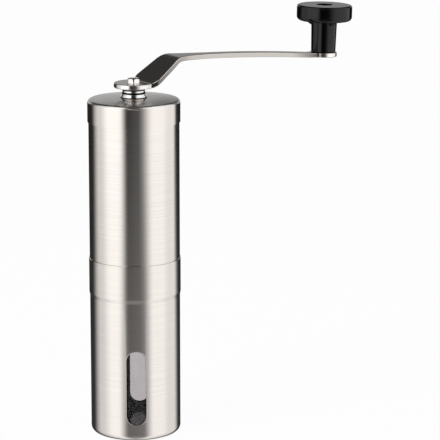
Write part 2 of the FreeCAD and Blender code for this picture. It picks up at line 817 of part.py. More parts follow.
def drive_shaft():
    """Round shaft with a hexagonal post, a clip groove, a hexagonal drive and a thread."""
    body = turned_body(
        "drive_shaft",
        [
            ("0", SHAFT_FOOT),
            (f"{THREAD} - thread_chamfer", SHAFT_FOOT),
            (THREAD, f"{SHAFT_FOOT} + thread_chamfer"),
            (THREAD, HUB_FOOT),
            (POST_CORNER, HUB_FOOT),
            (POST_CORNER, SPRING_TOP),
            ("shaft_radius", SPRING_TOP),
            ("shaft_radius", CLIP_FOOT),
            ("shaft_radius - clip_groove_depth", CLIP_FOOT),
            ("shaft_radius - clip_groove_depth", f"{CLIP_FOOT} + clip_thickness"),
            ("shaft_radius", f"{CLIP_FOOT} + clip_thickness"),
            ("shaft_radius", EYE_FOOT),
            (POST_CORNER, EYE_FOOT),
            (POST_CORNER, f"{POST_TOP} - post_chamfer"),
            (f"{POST_CORNER} - post_chamfer * 2", POST_TOP),
            ("0", POST_TOP),
        ],
    )
    for label, foot, length in (
        ("drive_flats", HUB_FOOT, f"{SPRING_TOP} - {HUB_FOOT}"),
        ("post_flats", EYE_FOOT, f"{POST_TOP} - {EYE_FOOT}"),
    ):
        flats = new_sketch(body, label, plane="XY_Plane", base=("0", "0", foot))
        draw_hexagon(flats, POST_FLATS, first_corner=30)
        draw_circle(flats, "0", "0", "shaft_radius + overcut")
        pocket(body, flats, length, back=True)
    return body


def star_section(radius, depth, teeth, turn, level, inward):
    """Closed ring of teeth at one level: a tip, a short land and a root for each tooth."""
    pitch = 2 * math.pi / teeth
    valley = radius - depth if inward else radius + depth
    shares = ((0.0, radius), (value("tooth_land"), radius), (value("tooth_root"), valley))
    spots = []
    for index in range(teeth):
        for share, reach in shares:
            angle = turn + (index + share) * pitch
            spots.append(FreeCAD.Vector(reach * math.cos(angle), reach * math.sin(angle), level))
    return Part.makePolygon(spots + spots[:1])


def toothed_stage(levels, radius_at, depth_at, teeth, twist, inward):
    """Ruled loft through toothed sections that turn steadily with height."""
    sections = []
    for level in levels:
        share = (level - levels[0]) / (levels[-1] - levels[0])
        turn = math.radians(twist) * share
        sections.append(
            star_section(radius_at(level), depth_at(share), teeth, turn, level, inward)
        )
    return Part.makeLoft(sections, True, True)


def spread(start, end, count):
    """Evenly spaced levels with both ends."""
    return [start + (end - start) * index / count for index in range(count + 1)]


def cone_radius(level):
    """Radius over the cone's tips at a level."""
    share = (level - value(CONE_FOOT)) / value(f"{CONE_TOP} - {CONE_FOOT}")
    return value(CONE_FOOT_RADIUS) + share * value(f"{CONE_TOP_RADIUS} - {CONE_FOOT_RADIUS}")


def ring_tip_radius(level):
    """Radius inside the ring's tips: parallel to the cone at its foot, nearly upright above."""
    split = value(GRIND_TOP)
    if level <= split:
        return cone_radius(level) + value("grind_gap")
    return cone_radius(split) + value("grind_gap") - value("ring_draft") * (level - split)


def upright_rod(radius, foot, top):
    """A cylinder about the shaft's axis between two levels."""
    level = value(foot)
    return Part.makeCylinder(value(radius), value(top) - level, FreeCAD.Vector(0, 0, level))


def inner_burr():
    """Cone with fine teeth at its foot, deep feeding teeth above and a keyed bore."""
    foot = value(CONE_FOOT)
    split = value(GRIND_TOP)
    top = value(CONE_TOP)
    fine = value("fine_depth")
    coarse = value("coarse_depth")
    run_in = value("cone_run_in")
    grinding = toothed_stage(
        spread(foot, split, FINE_STEPS), cone_radius, lambda share: fine,
        round(value("cone_fine_teeth")), value("fine_twist"), True,
    )
    feeding = toothed_stage(
        spread(split, top, CONE_FEED_STEPS), cone_radius,
        lambda share: fine + (coarse - fine) * min(run_in * share, 1),
        round(value("cone_coarse_teeth")), value("coarse_twist"), True,
    )
    above = f"({CONE_TOP} + overcut)"
    bore = upright_rod(f"{HUB_RADIUS} + key_clearance", f"{CONE_FOOT} - overcut", above)
    spring_pocket = upright_rod(SPRING_POCKET, HUB_TOP, above)
    feature = doc.addObject("Part::Feature", "inner_burr")
    feature.Label = "inner_burr"
    feature.Shape = grinding.fuse(feeding).cut(bore.fuse([spring_pocket] + key_slots()))
    return feature


def key_slots():
    """Slots in the cone's bore for the hub's keys, wider than the keys by their clearance."""
    slots = []
    count = round(value("key_count"))
    reach = value(f"{HUB_RADIUS} + key_height + key_clearance")
    width = value("key_width + 2 * key_clearance")
    foot = value(CONE_FOOT)
    for index in range(count):
        corner = FreeCAD.Vector(0, -width / 2, foot)
        slot = Part.makeBox(reach, width, value(HUB_TOP) - foot, corner)
        slot.rotate(FreeCAD.Vector(), FreeCAD.Vector(0, 0, 1), 360 * index / count)
        slots.append(slot)
    return slots


def outer_burr():
    """Ring with fine inside teeth at its foot and wide feeding pockets above."""
    foot = value(RING_FOOT)
    split = value(GRIND_TOP)
    top = value(RING_TOP)
    fine = value("fine_depth")
    coarse = value("coarse_depth")
    grinding = toothed_stage(
        spread(foot, split, FINE_STEPS), ring_tip_radius, lambda share: fine,
        round(value("ring_fine_teeth")), -value("fine_twist"), False,
    )
    feeding = toothed_stage(
        spread(split, top, RING_FEED_STEPS), ring_tip_radius,
        lambda share: fine + (coarse - fine) * share,
        round(value("ring_coarse_teeth")), -value("coarse_twist") / 2, False,
    )
    feature = doc.addObject("Part::Feature", "outer_burr")
    feature.Label = "outer_burr"
    feature.Shape = upright_rod(RING_OUTER, RING_FOOT, RING_TOP).cut(grinding.fuse(feeding))
    return feature


def burr_hub():
    """Drive hub: hexagonal bore on the shaft, keys into the cone and click grooves below."""
    body = turned_body(
        "burr_hub",
        [
            ("0", HUB_FOOT),
            (HUB_FLANGE, HUB_FOOT),
            (HUB_FLANGE, CONE_FOOT),
            (HUB_RADIUS, CONE_FOOT),
            (HUB_RADIUS, HUB_TOP),
            ("0", HUB_TOP),
        ],
    )
    key = new_sketch(body, "key", plane="XY_Plane", base=("0", "0", CONE_FOOT))
    draw_outline(
        key,
        [
            ("0", "-key_width / 2"),
            (f"{HUB_RADIUS} + key_height", "-key_width / 2"),
            (f"{HUB_RADIUS} + key_height", "key_width / 2"),
            ("0", "key_width / 2"),
        ],
    )
    keys = pad(body, key, f"{HUB_TOP} - {CONE_FOOT}")
    polar_pattern(body, keys, "key_count")
    groove = new_sketch(body, "click_groove", plane="XY_Plane", base=("0", "0", HUB_FOOT))
    draw_outline(
        groove,
        [
            (f"{HUB_FLANGE} - click_inset", "-click_width / 2"),
            (f"{HUB_FLANGE} + overcut", "-click_width / 2"),
            (f"{HUB_FLANGE} + overcut", "click_width / 2"),
            (f"{HUB_FLANGE} - click_inset", "click_width / 2"),
        ],
    )
    grooves = pocket(body, groove, "click_depth", back=True)
    polar_pattern(body, grooves, "click_count")
    socket = new_sketch(body, "hex_socket", plane="XY_Plane", base=("0", "0", HUB_FOOT))
    draw_hexagon(socket, f"{POST_FLATS} + 2 * running_clearance", first_corner=30)
    pocket(body, socket, f"{HUB_TOP} - {HUB_FOOT}", back=True)
    return body


def helix_run(radius, foot, top, turns):
    """Helix as a wire of smooth arc pairs, one pair for each quarter turn."""
    quarters = round(4 * turns)
    climb = (top - foot) / quarters
    step = math.pi / 2

    def spot(index):
        return FreeCAD.Vector(
            radius * math.cos(index * step), radius * math.sin(index * step), foot + index * climb
        )

    def heading(index):
        way = FreeCAD.Vector(
            -radius * math.sin(index * step), radius * math.cos(index * step), climb / step
        )
        return way.normalize()

    edges = []
    for index in range(quarters):
        start, end = spot(index), spot(index + 1)
        set_out, arrive = heading(index), heading(index + 1)
        gap = end - start
        both = set_out + arrive
        bend = 2 * (1 - set_out.dot(arrive))
        reach = (-gap.dot(both) + math.sqrt(gap.dot(both) ** 2 + bend * gap.dot(gap))) / bend
        middle = (start + end + (set_out - arrive) * reach) * 0.5
        edges.append(tangent_arc(start, set_out, middle))
        edges.append(tangent_arc(end, arrive * -1, middle))
    return Part.Wire(Part.__sortEdges__(edges))


def tangent_arc(start, way, end):
    """Arc that leaves start along way and reaches end."""
    chord = end - start
    along = FreeCAD.Vector(chord).normalize()
    off = way - along * way.dot(along)
    half_turn = math.asin(min(off.Length, 1.0))
    off.normalize()
    crown = (start + end) * 0.5 + off * (chord.Length / 2 * math.tan(half_turn / 2))
    return Part.Arc(start, crown, end).toShape()


def least_gap(run, wire, turns):
    """Least gap between a coil's turns, measured on points of its centre line."""
    spots = run.discretize(Number=POINTS_PER_TURN * math.ceil(turns))
    apart = round(len(spots) / turns / 2)
    return min(
        spot.distanceToPoint(other)
        for index, spot in enumerate(spots)
        for other in spots[index + apart:]
    ) - wire


def burr_spring():
    """Compression spring with ground ends between the washer and the hub."""
    wire = value("spring_wire")
    foot = value(HUB_TOP)
    top = value(SPRING_TOP)
    radius = value(SPRING_RADIUS)
    run = helix_run(radius, foot + wire / 4, top - wire / 4, value("spring_turns"))
    start = run.Vertexes[0].Point
    way = run.Edges[0].tangentAt(run.Edges[0].FirstParameter)
    section = Part.Wire(Part.makeCircle(wire / 2, start, way))
    coil = run.makePipeShell([section], True, False)
    slab = Part.makeCylinder(radius + wire, top - foot, FreeCAD.Vector(0, 0, foot))
    gap = least_gap(run, wire, value("spring_turns"))
    print(f"burr_spring: least gap between turns {gap:.2f} mm")
    feature = doc.addObject("Part::Feature", "burr_spring")
    feature.Label = "burr_spring"
    feature.Shape = coil.common(slab)
    return feature


def adjuster_dial():
    """Lobed dial with three click ridges above and a hexagonal pocket for its nut."""
    body = turned_body(
        "adjuster_dial",
        [
            (f"{THREAD} + dial_bore_clearance", DIAL_FOOT),
            (f"{DIAL_RADIUS} - dial_edge", DIAL_FOOT),
            (DIAL_RADIUS, f"{DIAL_FOOT} + dial_edge"),
            (DIAL_RADIUS, f"{DIAL_TOP} - dial_top_edge"),
            (f"{DIAL_RADIUS} - dial_top_edge", DIAL_TOP),
            (f"{THREAD} + dial_bore_clearance", DIAL_TOP),
        ],
    )
    root = f"{DIAL_TOP} - root_depth"
    ridge = new_sketch(body, "click_ridge", plane="XY_Plane", base=("0", "0", root))
    inner = f"({HUB_FLANGE} - click_inset + ridge_inset)"
    outer = f"({HUB_FLANGE} - ridge_inset)"
    draw_outline(
        ridge,
        [
            (inner, "-ridge_width / 2"),
            (outer, "-ridge_width / 2"),
            (outer, "ridge_width / 2"),
            (inner, "ridge_width / 2"),
        ],
    )
    ridges = pad(body, ridge, "ridge_height + root_depth")
    polar_pattern(body, ridges, "ridge_count")
    hollow = new_sketch(body, "finger_hollow", plane="XY_Plane", base=("0", "0", DIAL_FOOT))
    draw_circle(hollow, f"{DIAL_RADIUS} + dial_lobe_offset", "0", "dial_lobe_radius")
    hollows = pocket(body, hollow, "dial_thickness", back=True)
    polar_pattern(body, hollows, "dial_lobes")
    seat = new_sketch(body, "nut_pocket", plane="XY_Plane", base=("0", "0", DIAL_FOOT))
    draw_hexagon(seat, f"{NUT_FLATS} + 2 * nut_clearance")
    pocket(body, seat, f"{NUT_TOP} - {DIAL_FOOT}", back=True)
    return body


def adjuster_nut():
    """Threaded nut moulded into the dial."""
    body = new_body("adjuster_nut")
    sketch = new_sketch(body, "nut_outline", plane="XY_Plane", base=("0", "0", DIAL_FOOT))
    draw_hexagon(sketch, NUT_FLATS)
    draw_circle(sketch, "0", "0", f"{THREAD} + thread_clearance")
    pad(body, sketch, f"{NUT_TOP} - {DIAL_FOOT}")
    return body


def under_crown(reach):
    """Formula for the level of the lid's inner face at a distance from the axis."""
    return f"({CROWN_CENTRE} + sqrt({CROWN_INNER} ^ 2 - ({reach}) ^ 2))"


def lid_shell():
    """Pressed cap: skirt, rounded edge, shallow crown and a flat seat round the bush hole."""
    inner_corner = "(lid_corner - sheet_wall)"
    inner_seat = under_crown(BUSH_RECESS)
    inner_edge = under_crown(LID_BREAK)
    hole = f"({BUSH_STEM} + bush_hole_clearance)"
    skirt_foot = f"({LID_EDGE} - lid_skirt - lid_corner)"
    return turned_body(
        "lid_shell",
        [
            (hole, inner_seat),
            (BUSH_RECESS, inner_seat, CROWN_INNER, -1),
            (LID_BREAK, inner_edge, inner_corner, -1),
            (LID_INNER, f"{LID_EDGE} - lid_corner"),
            (LID_INNER, skirt_foot),
            (LID_OUTER, skirt_foot),
            (LID_OUTER, f"{LID_EDGE} - lid_corner", "lid_corner", 1),
            (LID_BREAK, LID_EDGE, CROWN_RADIUS, 1),
            (BUSH_RECESS, BUSH_SEAT),
            (hole, BUSH_SEAT),
        ],
    )


def lid_bush():
    """Bright two-tier bush: flared base, waist groove, upper tier and a stem for its nut."""
    groove_foot = f"({BUSH_SEAT} + bush_cone_height - bush_groove_width / 2)"
    groove_top = f"({BUSH_SEAT} + bush_cone_height + bush_groove_width / 2)"
    stem_foot = f"({BUSH_SEAT} - sheet_wall - bush_nut_thickness - bush_stem_tail)"
    return turned_body(
        "lid_bush",
        [
            (SHAFT_BORE, stem_foot),
            (BUSH_STEM, stem_foot),
            (BUSH_STEM, BUSH_SEAT),
            (BUSH_BASE, BUSH_SEAT),
            (BUSH_BASE, f"{BUSH_SEAT} + bush_edge"),
            (f"{BUSH_STEM} + bush_waist_step", groove_foot),
            (f"{BUSH_TIP} - bush_groove_depth", groove_foot),
            (f"{BUSH_TIP} - bush_groove_depth", groove_top),
            (BUSH_TIP, groove_top),
            (BUSH_TIP, f"{BUSH_TOP} - bush_edge"),
            (f"{BUSH_TIP} - bush_edge", BUSH_TOP),
            (f"{SHAFT_BORE} + bush_edge", BUSH_TOP),
            (SHAFT_BORE, f"{BUSH_TOP} - bush_edge"),
        ],
    )


def lid_bush_nut():
    """Thin hexagonal nut that clamps the bush to the lid's top."""
    body = new_body("lid_bush_nut")
    corner = f"({BUSH_NUT_FLATS} / 2 / cos(30 deg))"
    foot = f"{under_crown(f'max({BUSH_RECESS}; {corner})')} - bush_nut_thickness"
    sketch = new_sketch(body, "nut_outline", plane="XY_Plane", base=("0", "0", foot))
    draw_hexagon(sketch, BUSH_NUT_FLATS)
    draw_circle(sketch, "0", "0", f"{BUSH_STEM} + bush_nut_clearance")
    pad(body, sketch, "bush_nut_thickness")
    return body


def lid_gasket():
    """Seal ring between the tube's end and the lid's top."""
    inner = "(tube_radius - gasket_width)"
    outer = f"({LID_BREAK} - gasket_clearance)"
    return turned_body(
        "lid_gasket",
        [
            (inner, HOPPER_TOP),
            ("tube_radius", HOPPER_TOP),
            ("tube_radius", f"{HOPPER_TOP} + gasket_step"),
            (outer, under_crown(outer)),
            (inner, under_crown(inner)),
        ],
    )


def turned_about_z(angle):
    """Placement that turns a piece about the shaft's axis."""
    return FreeCAD.Placement(FreeCAD.Vector(), FreeCAD.Rotation(value(angle), 0, 0))


def round_uprights(body, spots, radius):
    """Round the upright edges of a body that stand over the given points."""
    names = []
    for x, y in spots:
        spot = FreeCAD.Vector(value(x), value(y), 0)
        for number, edge in enumerate(body.Shape.Edges, start=1):
            ends = [vertex.Point for vertex in edge.Vertexes]
            off = [math.hypot(end.x - spot.x, end.y - spot.y) for end in ends]
            if len(ends) == 2 and max(off) < SAME_SPOT:
                names.append(f"Edge{number}")
    if len(names) != len(spots):
        raise RuntimeError(f"{body.Label}: {len(names)} of {len(spots)} edges found to round")
    rounded = body.Tip
    feature = body.newObject("PartDesign::Fillet", "rounding")
    feature.Base = (rounded, names)
    feature.setExpression("Radius", linked(radius))
    return finish_feature(body, feature)


def crank_bar():
    """The bar from the side: flat eye, steep bend, crest, long shallow bow and pad."""
    body = new_body("crank_bar")
    path = new_sketch(body, "top_line")
    start = "(-eye_radius - overcut)"
    side = "(eye_radius + flank_flare + overcut)"
    end_run = f"({PAD_RADIUS} + overcut)"
    draw_rounded(
        path,
        [
            (start, EYE_TOP),
            (BEND_START, EYE_TOP, "bend_radius"),
            (CREST_REACH, f"{EYE_TOP} + crest_rise", "crest_radius"),
            (BOW_REACH, f"{EYE_TOP} + {BOW_RISE}", BOW_RADIUS),
            (DIP_REACH, f"{EYE_TOP} + dip_rise", "dip_radius"),
            (f"knob_reach + {end_run}", f"{KNOB_SEAT} - {end_run} * {LEAN}"),
        ],
        closed=False,
    )
    section = new_sketch(body, "section", plane="YZ_Plane", base=("0", "0", start))
    draw_outline(
        section,
        [
            (f"-{side}", EYE_FOOT),
            (side, EYE_FOOT),
            (side, EYE_TOP),
            (f"-{side}", EYE_TOP),
        ],
    )
    sweep = body.newObject("PartDesign::AdditivePipe", "bar")
    sweep.Profile = section
    sweep.Spine = path
    finish_feature(body, sweep)
    return body


def crank_plan():
    """The bar from above, as a tall block: eye, flanks that taper to an arm, pad and holes."""
    body = new_body("crank_plan")
    foot = f"({EYE_FOOT} - plan_margin)"
    depth = "(crest_rise + bar_thickness + 2 * plan_margin)"
    half = "(bar_width / 2)"
    flank_half = "(eye_radius + flank_flare)"
    inner_half = f"({flank_half} - flank_reach * tan(flank_slope * 1 deg))"
    flank = ("flank_reach", flank_half, "flank_rounding")
    shoulder = ("shoulder_reach", "eye_radius - shoulder_inset", "shoulder_rounding")
    neck = ("shoulder_reach + neck_run", f"{half} + neck_flare", "shoulder_rounding")
    slim = ("shoulder_reach + neck_run + slim_run", half, "slim_rounding")
    side = [("0", inner_half), flank, shoulder, neck, slim, ("knob_reach", half)]
    bar = new_sketch(body, "bar_plan", plane="XY_Plane", base=("0", "0", foot))
    draw_rounded(bar, side + [(spot[0], f"-({spot[1]})", *spot[2:]) for spot in reversed(side)])
    pad(body, bar, depth)
    for label, reach, radius in (("eye", "0", "eye_radius"), ("end_pad", "knob_reach", PAD_RADIUS)):
        disc = new_sketch(body, label, plane="XY_Plane", base=("0", "0", foot))
        draw_circle(disc, reach, "0", radius)
        pad(body, disc, depth)
    off = f"({inner_half} * cos(flank_slope * 1 deg))"
    along = f"sqrt(eye_radius ^ 2 - {off} ^ 2)"
    waist_reach = f"{along} * cos(flank_slope * 1 deg) - {off} * sin(flank_slope * 1 deg)"
    waist_half = f"({along} * sin(flank_slope * 1 deg) + {off} * cos(flank_slope * 1 deg))"
    round_uprights(
        body, [(waist_reach, waist_half), (waist_reach, f"-{waist_half}")], "waist_rounding"
    )
    pad_join = f"knob_reach - sqrt({PAD_RADIUS} ^ 2 - {half} ^ 2)"
    round_uprights(body, [(pad_join, half), (pad_join, f"-{half}")], "pad_rounding")
    socket = new_sketch(body, "hex_socket", plane="XY_Plane", base=("0", "0", foot))
    draw_hexagon(socket, f"{POST_FLATS} + 2 * socket_clearance")
    pocket(body, socket, depth, back=True)
    for label, radius, drop in (
        ("rivet_hole", RIVET_RADIUS, "0"),
        ("rivet_seat", f"{RIVET_RADIUS} + rivet_flare", "(bar_thickness - rivet_flare)"),
    ):
        out = f"knob_reach - {drop} * sin(knob_lean * 1 deg)"
        level = f"{KNOB_SEAT} - {drop} * cos(knob_lean * 1 deg)"
        hole = new_sketch(
            body, label, plane="XY_Plane", base=(out, "0", level), axis=(0, 1, 0), angle="knob_lean"
        )
        draw_circle(hole, "0", "0", radius)
        pocket(body, hole, "bar_thickness + plan_margin / 2")
    return body


def outer_edges(shape):
    """Numbers of the edges where the bar's upright sides meet its top or foot face."""
    numbers = []
    for number, edge in enumerate(shape.Edges, start=1):
        faces = shape.ancestorsOfType(edge, Part.Face)
        middle = edge.valueAt((edge.FirstParameter + edge.LastParameter) / 2)
        inside_eye = math.hypot(middle.x, middle.y) < value("eye_radius / 2")
        inside_pad = math.hypot(middle.x - value("knob_reach"), middle.y) < value(f"{PAD_RADIUS} / 2")
        if inside_eye or inside_pad:
            continue
        rises = []
        for face in faces:
            u, v = face.Surface.parameter(middle)
            rises.append(abs(face.normalAt(u, v).z))
        if len(rises) == 2 and min(rises) < UPRIGHT and max(rises) > LEVEL:
            numbers.append(number)
    return numbers


def crank_arm():
    """Flat bar cut to its plan, with its outer edges broken."""
    halves = [crank_bar(), crank_plan()]
    blank = doc.addObject("Part::MultiCommon", "crank_blank")
    blank.Shapes = halves
    doc.recompute()
    arm = doc.addObject("Part::Fillet", "crank_arm")
    arm.Base = blank
    edge_break = value("bar_edge")
    arm.Edges = [(number, edge_break, edge_break) for number in outer_edges(blank.Shape)]
    arm.Label = "crank_arm"
    doc.recompute()
    arm.Placement = turned_about_z("crank_angle")
    return arm


def stand_on_pad(body):
    """Place a piece drawn about the knob's axis on the crank's pad."""
    turn = FreeCAD.Rotation(FreeCAD.Vector(0, 0, 1), value("crank_angle"))
    lean = FreeCAD.Rotation(FreeCAD.Vector(0, 1, 0), value("knob_lean"))
    body.Placement = FreeCAD.Placement(FreeCAD.Vector(), turn.multiply(lean))
    body.setExpression("Placement.Base.x", linked("knob_reach * cos(crank_angle * 1 deg)"))
    body.setExpression("Placement.Base.y", linked("knob_reach * sin(crank_angle * 1 deg)"))
    body.setExpression("Placement.Base.z", linked(KNOB_SEAT))
    doc.recompute()
    return body


def knob_pin():
    """Shouldered pin: riveted flush under the pad, with a head inside the knob."""
    rivet = f"({RIVET_RADIUS} + rivet_flare)"
    head_top = f"({PIN_HEAD_SEAT} + pin_head_height)"
    body = turned_body(
        "knob_pin",
        [
            ("0", "-bar_thickness"),
            (rivet, "-bar_thickness"),
            (rivet, "rivet_flare - bar_thickness"),
            (RIVET_RADIUS, "rivet_flare - bar_thickness"),
            (RIVET_RADIUS, "0"),
            ("pin_radius", "0"),
            ("pin_radius", PIN_HEAD_SEAT),
            (PIN_HEAD, PIN_HEAD_SEAT),
            (PIN_HEAD, f"{head_top} - pin_head_edge"),
            (f"{PIN_HEAD} - pin_head_edge", head_top),
            ("0", head_top),
        ],
    )
    return stand_on_pad(body)


def knob():
    """Moulded knob: tapered stem, round head with webs under it, bore and stepped recess."""
    bore = "(pin_radius + running_clearance)"
    web_reach = "(head_radius - web_inset)"
    body = turned_body(
        "knob",
        [
            (bore, "knob_gap"),
            ("stem_foot_radius - stem_edge", "knob_gap", "stem_edge", 1),
            ("stem_foot_radius", "knob_gap + stem_edge"),
            ("stem_neck_radius", f"{HEAD_FOOT} - neck_fillet", "neck_fillet", -1),
            ("stem_neck_radius + neck_fillet", HEAD_FOOT),
            ("head_radius - head_foot_edge", HEAD_FOOT, "head_foot_edge", 1),
            ("head_radius", f"{HEAD_FOOT} + head_foot_edge"),
            ("head_radius", f"{KNOB_TOP} - head_top_edge", "head_top_edge", 1),
            ("head_radius - head_top_edge", KNOB_TOP),
            (f"{RECESS_RADIUS} + recess_edge", KNOB_TOP, "recess_edge", 1),
            (RECESS_RADIUS, f"{KNOB_TOP} - recess_edge"),
            (RECESS_RADIUS, CAP_FOOT),
            (PIN_HEAD_BORE, CAP_FOOT),
            (PIN_HEAD_BORE, PIN_HEAD_DECK),
            (bore, PIN_HEAD_DECK),
        ],
    )
    web = new_sketch(body, "web", axis=(0, 1, 0), angle="web_angle")
    draw_outline(
        web,
        [
            ("stem_foot_radius - web_root", f"{HEAD_FOOT} - web_drop"),
            ("stem_foot_radius + web_toe", f"{HEAD_FOOT} - web_drop"),
            (web_reach, HEAD_FOOT),
            (web_reach, f"{HEAD_FOOT} + web_root"),
            ("stem_foot_radius - web_root", f"{HEAD_FOOT} + web_root"),
        ],
    )
    webs = pad(body, web, "web_width", midplane=True)
    polar_pattern(body, webs, "web_count")
    return stand_on_pad(body)


def knob_cap():
    """Disc that closes the knob over the pin's head."""
    outer = f"({RECESS_RADIUS} - cap_clearance)"
    body = turned_body(
        "knob_cap",
        [
            ("0", CAP_FOOT),
            (outer, CAP_FOOT),
            (outer, f"{CAP_TOP} - cap_edge"),
            (f"{outer} - cap_edge", CAP_TOP),
            ("0", CAP_TOP),
        ],
    )
    return stand_on_pad(body)


def build_pieces():
    """Model every piece, in the order of assembly."""
    return [
        cup_shell(),
        cup_liner(),
        hopper_tube(),
        burr_carrier(),
        outer_burr(),
        lock_ring(),
        lock_ring_screws(),
        shaft_bush("upper_shaft_bush", BOSS_TOP, False),
        shaft_bush("lower_shaft_bush", f"({BOSS_FOOT} - sleeve_flange)", True),
        drive_shaft(),
        flat_ring(
            "thrust_washer", SHAFT_BORE, "shaft_radius + clip_ring_width",
            f"{BOSS_TOP} + sleeve_flange", CLIP_FOOT,
        ),
        retaining_clip(),
        flat_ring(
            "spring_washer", SHAFT_BORE, f"{SPRING_RADIUS} + spring_wire",
            SPRING_TOP, f"{SPRING_TOP} + washer_thickness",
        ),
        burr_spring(),
        inner_burr(),
        burr_hub(),
        adjuster_dial(),
        adjuster_nut(),
        lid_shell(),
        lid_bush(),
        lid_bush_nut(),
        lid_gasket(),
        crank_arm(),
        knob_pin(),
        knob(),
        knob_cap(),
    ]


def check_document():
    """Stop if any object of the document failed to build."""
    for item in doc.Objects:
        if {"Invalid", "Error"} & set(item.State):
            raise RuntimeError(f"{item.Label} failed: {item.State}")


def check_piece(piece):
    """Stop if a piece has no sound solid."""
    shape = piece.Shape
    if shape.isNull() or not shape.isValid() or not shape.Solids:
        raise RuntimeError(f"{piece.Label} has no sound shape")
    if len(shape.Solids) > 1 and piece.Label != "lock_ring_screws":
        raise RuntimeError(f"{piece.Label} is in {len(shape.Solids)} pieces")


pieces = build_pieces()
doc.recompute()
check_document()
for piece in pieces:
    check_piece(piece)
os.makedirs("parts", exist_ok=True)
for piece in pieces:
    piece.Shape.exportStep(f"parts/{piece.Label}.step")
    print(f"{piece.Label}: {piece.Shape.Volume:.1f} mm3")
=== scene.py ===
"""Looks of a slim hand-cranked coffee grinder: finishes, small details, studio and camera."""

import json
import logging
import math
from collections.abc import Mapping
from dataclasses import dataclass, field, replace
from enum import Enum
from typing import Any

import bmesh
import bpy
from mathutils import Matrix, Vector

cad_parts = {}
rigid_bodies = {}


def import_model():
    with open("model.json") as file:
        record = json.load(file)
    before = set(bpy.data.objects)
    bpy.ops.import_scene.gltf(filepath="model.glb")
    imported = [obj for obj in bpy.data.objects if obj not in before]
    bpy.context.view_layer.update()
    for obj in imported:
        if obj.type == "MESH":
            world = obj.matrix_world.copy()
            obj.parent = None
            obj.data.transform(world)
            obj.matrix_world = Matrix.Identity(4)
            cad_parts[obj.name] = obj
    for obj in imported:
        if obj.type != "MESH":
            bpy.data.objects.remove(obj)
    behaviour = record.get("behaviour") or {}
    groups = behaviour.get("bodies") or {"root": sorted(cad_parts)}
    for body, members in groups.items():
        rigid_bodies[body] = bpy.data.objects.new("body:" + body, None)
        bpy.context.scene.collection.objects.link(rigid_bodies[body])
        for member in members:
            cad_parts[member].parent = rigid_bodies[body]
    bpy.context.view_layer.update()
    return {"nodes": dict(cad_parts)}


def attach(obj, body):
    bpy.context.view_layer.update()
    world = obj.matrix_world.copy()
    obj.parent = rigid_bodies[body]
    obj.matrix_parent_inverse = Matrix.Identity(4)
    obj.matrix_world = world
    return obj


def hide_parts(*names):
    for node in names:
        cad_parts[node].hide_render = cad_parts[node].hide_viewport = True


LOG = logging.getLogger("grinder")
MM = 0.001
BYTE = 255.0
# sRGB's curve: straight below the knee and a power above it.
SRGB_KNEE = 0.04045
SRGB_SLOPE = 12.92
SRGB_OFFSET = 0.055
SRGB_POWER = 2.4
# Sockets of a Mix node: its factor, the values and colours that it mixes, and its results.
MIX_FACTOR = 0
VALUE_A = 2
VALUE_B = 3
COLOUR_A = 6
COLOUR_B = 7
VALUE_OUT = 0
COLOUR_OUT = 2
# Octaves of the grain and of the slow drift, and how much of an octave the next one keeps.
GRAIN_DETAIL = 3.0
GRAIN_ROUGHNESS = 0.6
DRIFT_DETAIL = 2.0
# Range that such a noise mostly stays in.
NOISE_RANGE = (0.3, 0.7)
# A face counts as upright while its normal points up or down by less than this.
UPRIGHT_LIMIT = 0.3
# A face counts as level once its normal points up by more than this.
LEVEL_LIMIT = 0.96
# An edge counts as upright once it rises by more than this share of its length.
UPRIGHT_EDGE = 0.99
# A ray has met no glossy face while its count of them is under this.
NO_BOUNCE = 0.5
FULL_TURN = 360.0
# From straight down to straight up, as a sine.
SINE_RANGE = 2.0
RAMP_MIDDLE = 0.5
MERGE_DISTANCE = 1e-7
SHARP_ANGLE = math.radians(32.0)
# Distances from the shaft's axis, in millimetres, at which a finish changes: between the sheet's
# inner and outer face, where the painted shade inside starts, and along the crank, where its
# painted shade and painted highlights start and end: at the eye's edge, along the arm and at the
# pad's edge.
SHEET_MIDDLE = 22.75
EYE_EDGE = 10.4
RUN_START = 25.0
SLOPE_SIDE = 30.0
RUN_END = 95.0
PAD_EDGE = 109.0
# Heights, in millimetres, at which a finish changes: the foot's corner, the bush's bands of
# painted shade, and the foot of the post's polish.
FOOT_CORNER = 1.9
BUSH_FOOT = 174.3
BUSH_GROOVE = 176.5
BUSH_TOP = 178.0
POST_FOOT = 179.5


class Marks(Enum):
    """Way that the tool marks of a surface run; each axis is true where the marks are long."""

    AROUND = (True, True, False)
    LENGTHWISE = (True, False, False)
    RINGS = (False, False, True)
    NONE = (False, False, False)


class Where(Enum):
    """Part of a surface with its own shade and roughness; some parts are painted shade or
    highlight.
    """

    INSIDE = "nearer to the shaft's axis than the limit"
    ABOVE = "higher than the limit"
    BAND = "between two heights"
    UPRIGHT = "faces that stand upright"
    UPRIGHT_FADE = "upright faces, fading in from the limit over the signed band"
    LEVEL = "faces that look straight up, farther from the shaft's axis than the limit"


# How a Math node tells the parts that one measure is enough for.
MASK_OPERATION = {
    Where.INSIDE: "LESS_THAN",
    Where.ABOVE: "GREATER_THAN",
    Where.BAND: "COMPARE",
}


@dataclass(frozen=True)
class Zone:
    """A part of a surface with a shade and a roughness of its own.

    A band is centred on its limit. A fade starts at its limit and is whole at the limit plus the
    band, which is below zero where the zone lies nearer to the axis.
    """

    where: Where
    shade: str
    roughness: float
    limit_mm: float = 0.0
    band_mm: float = 0.0


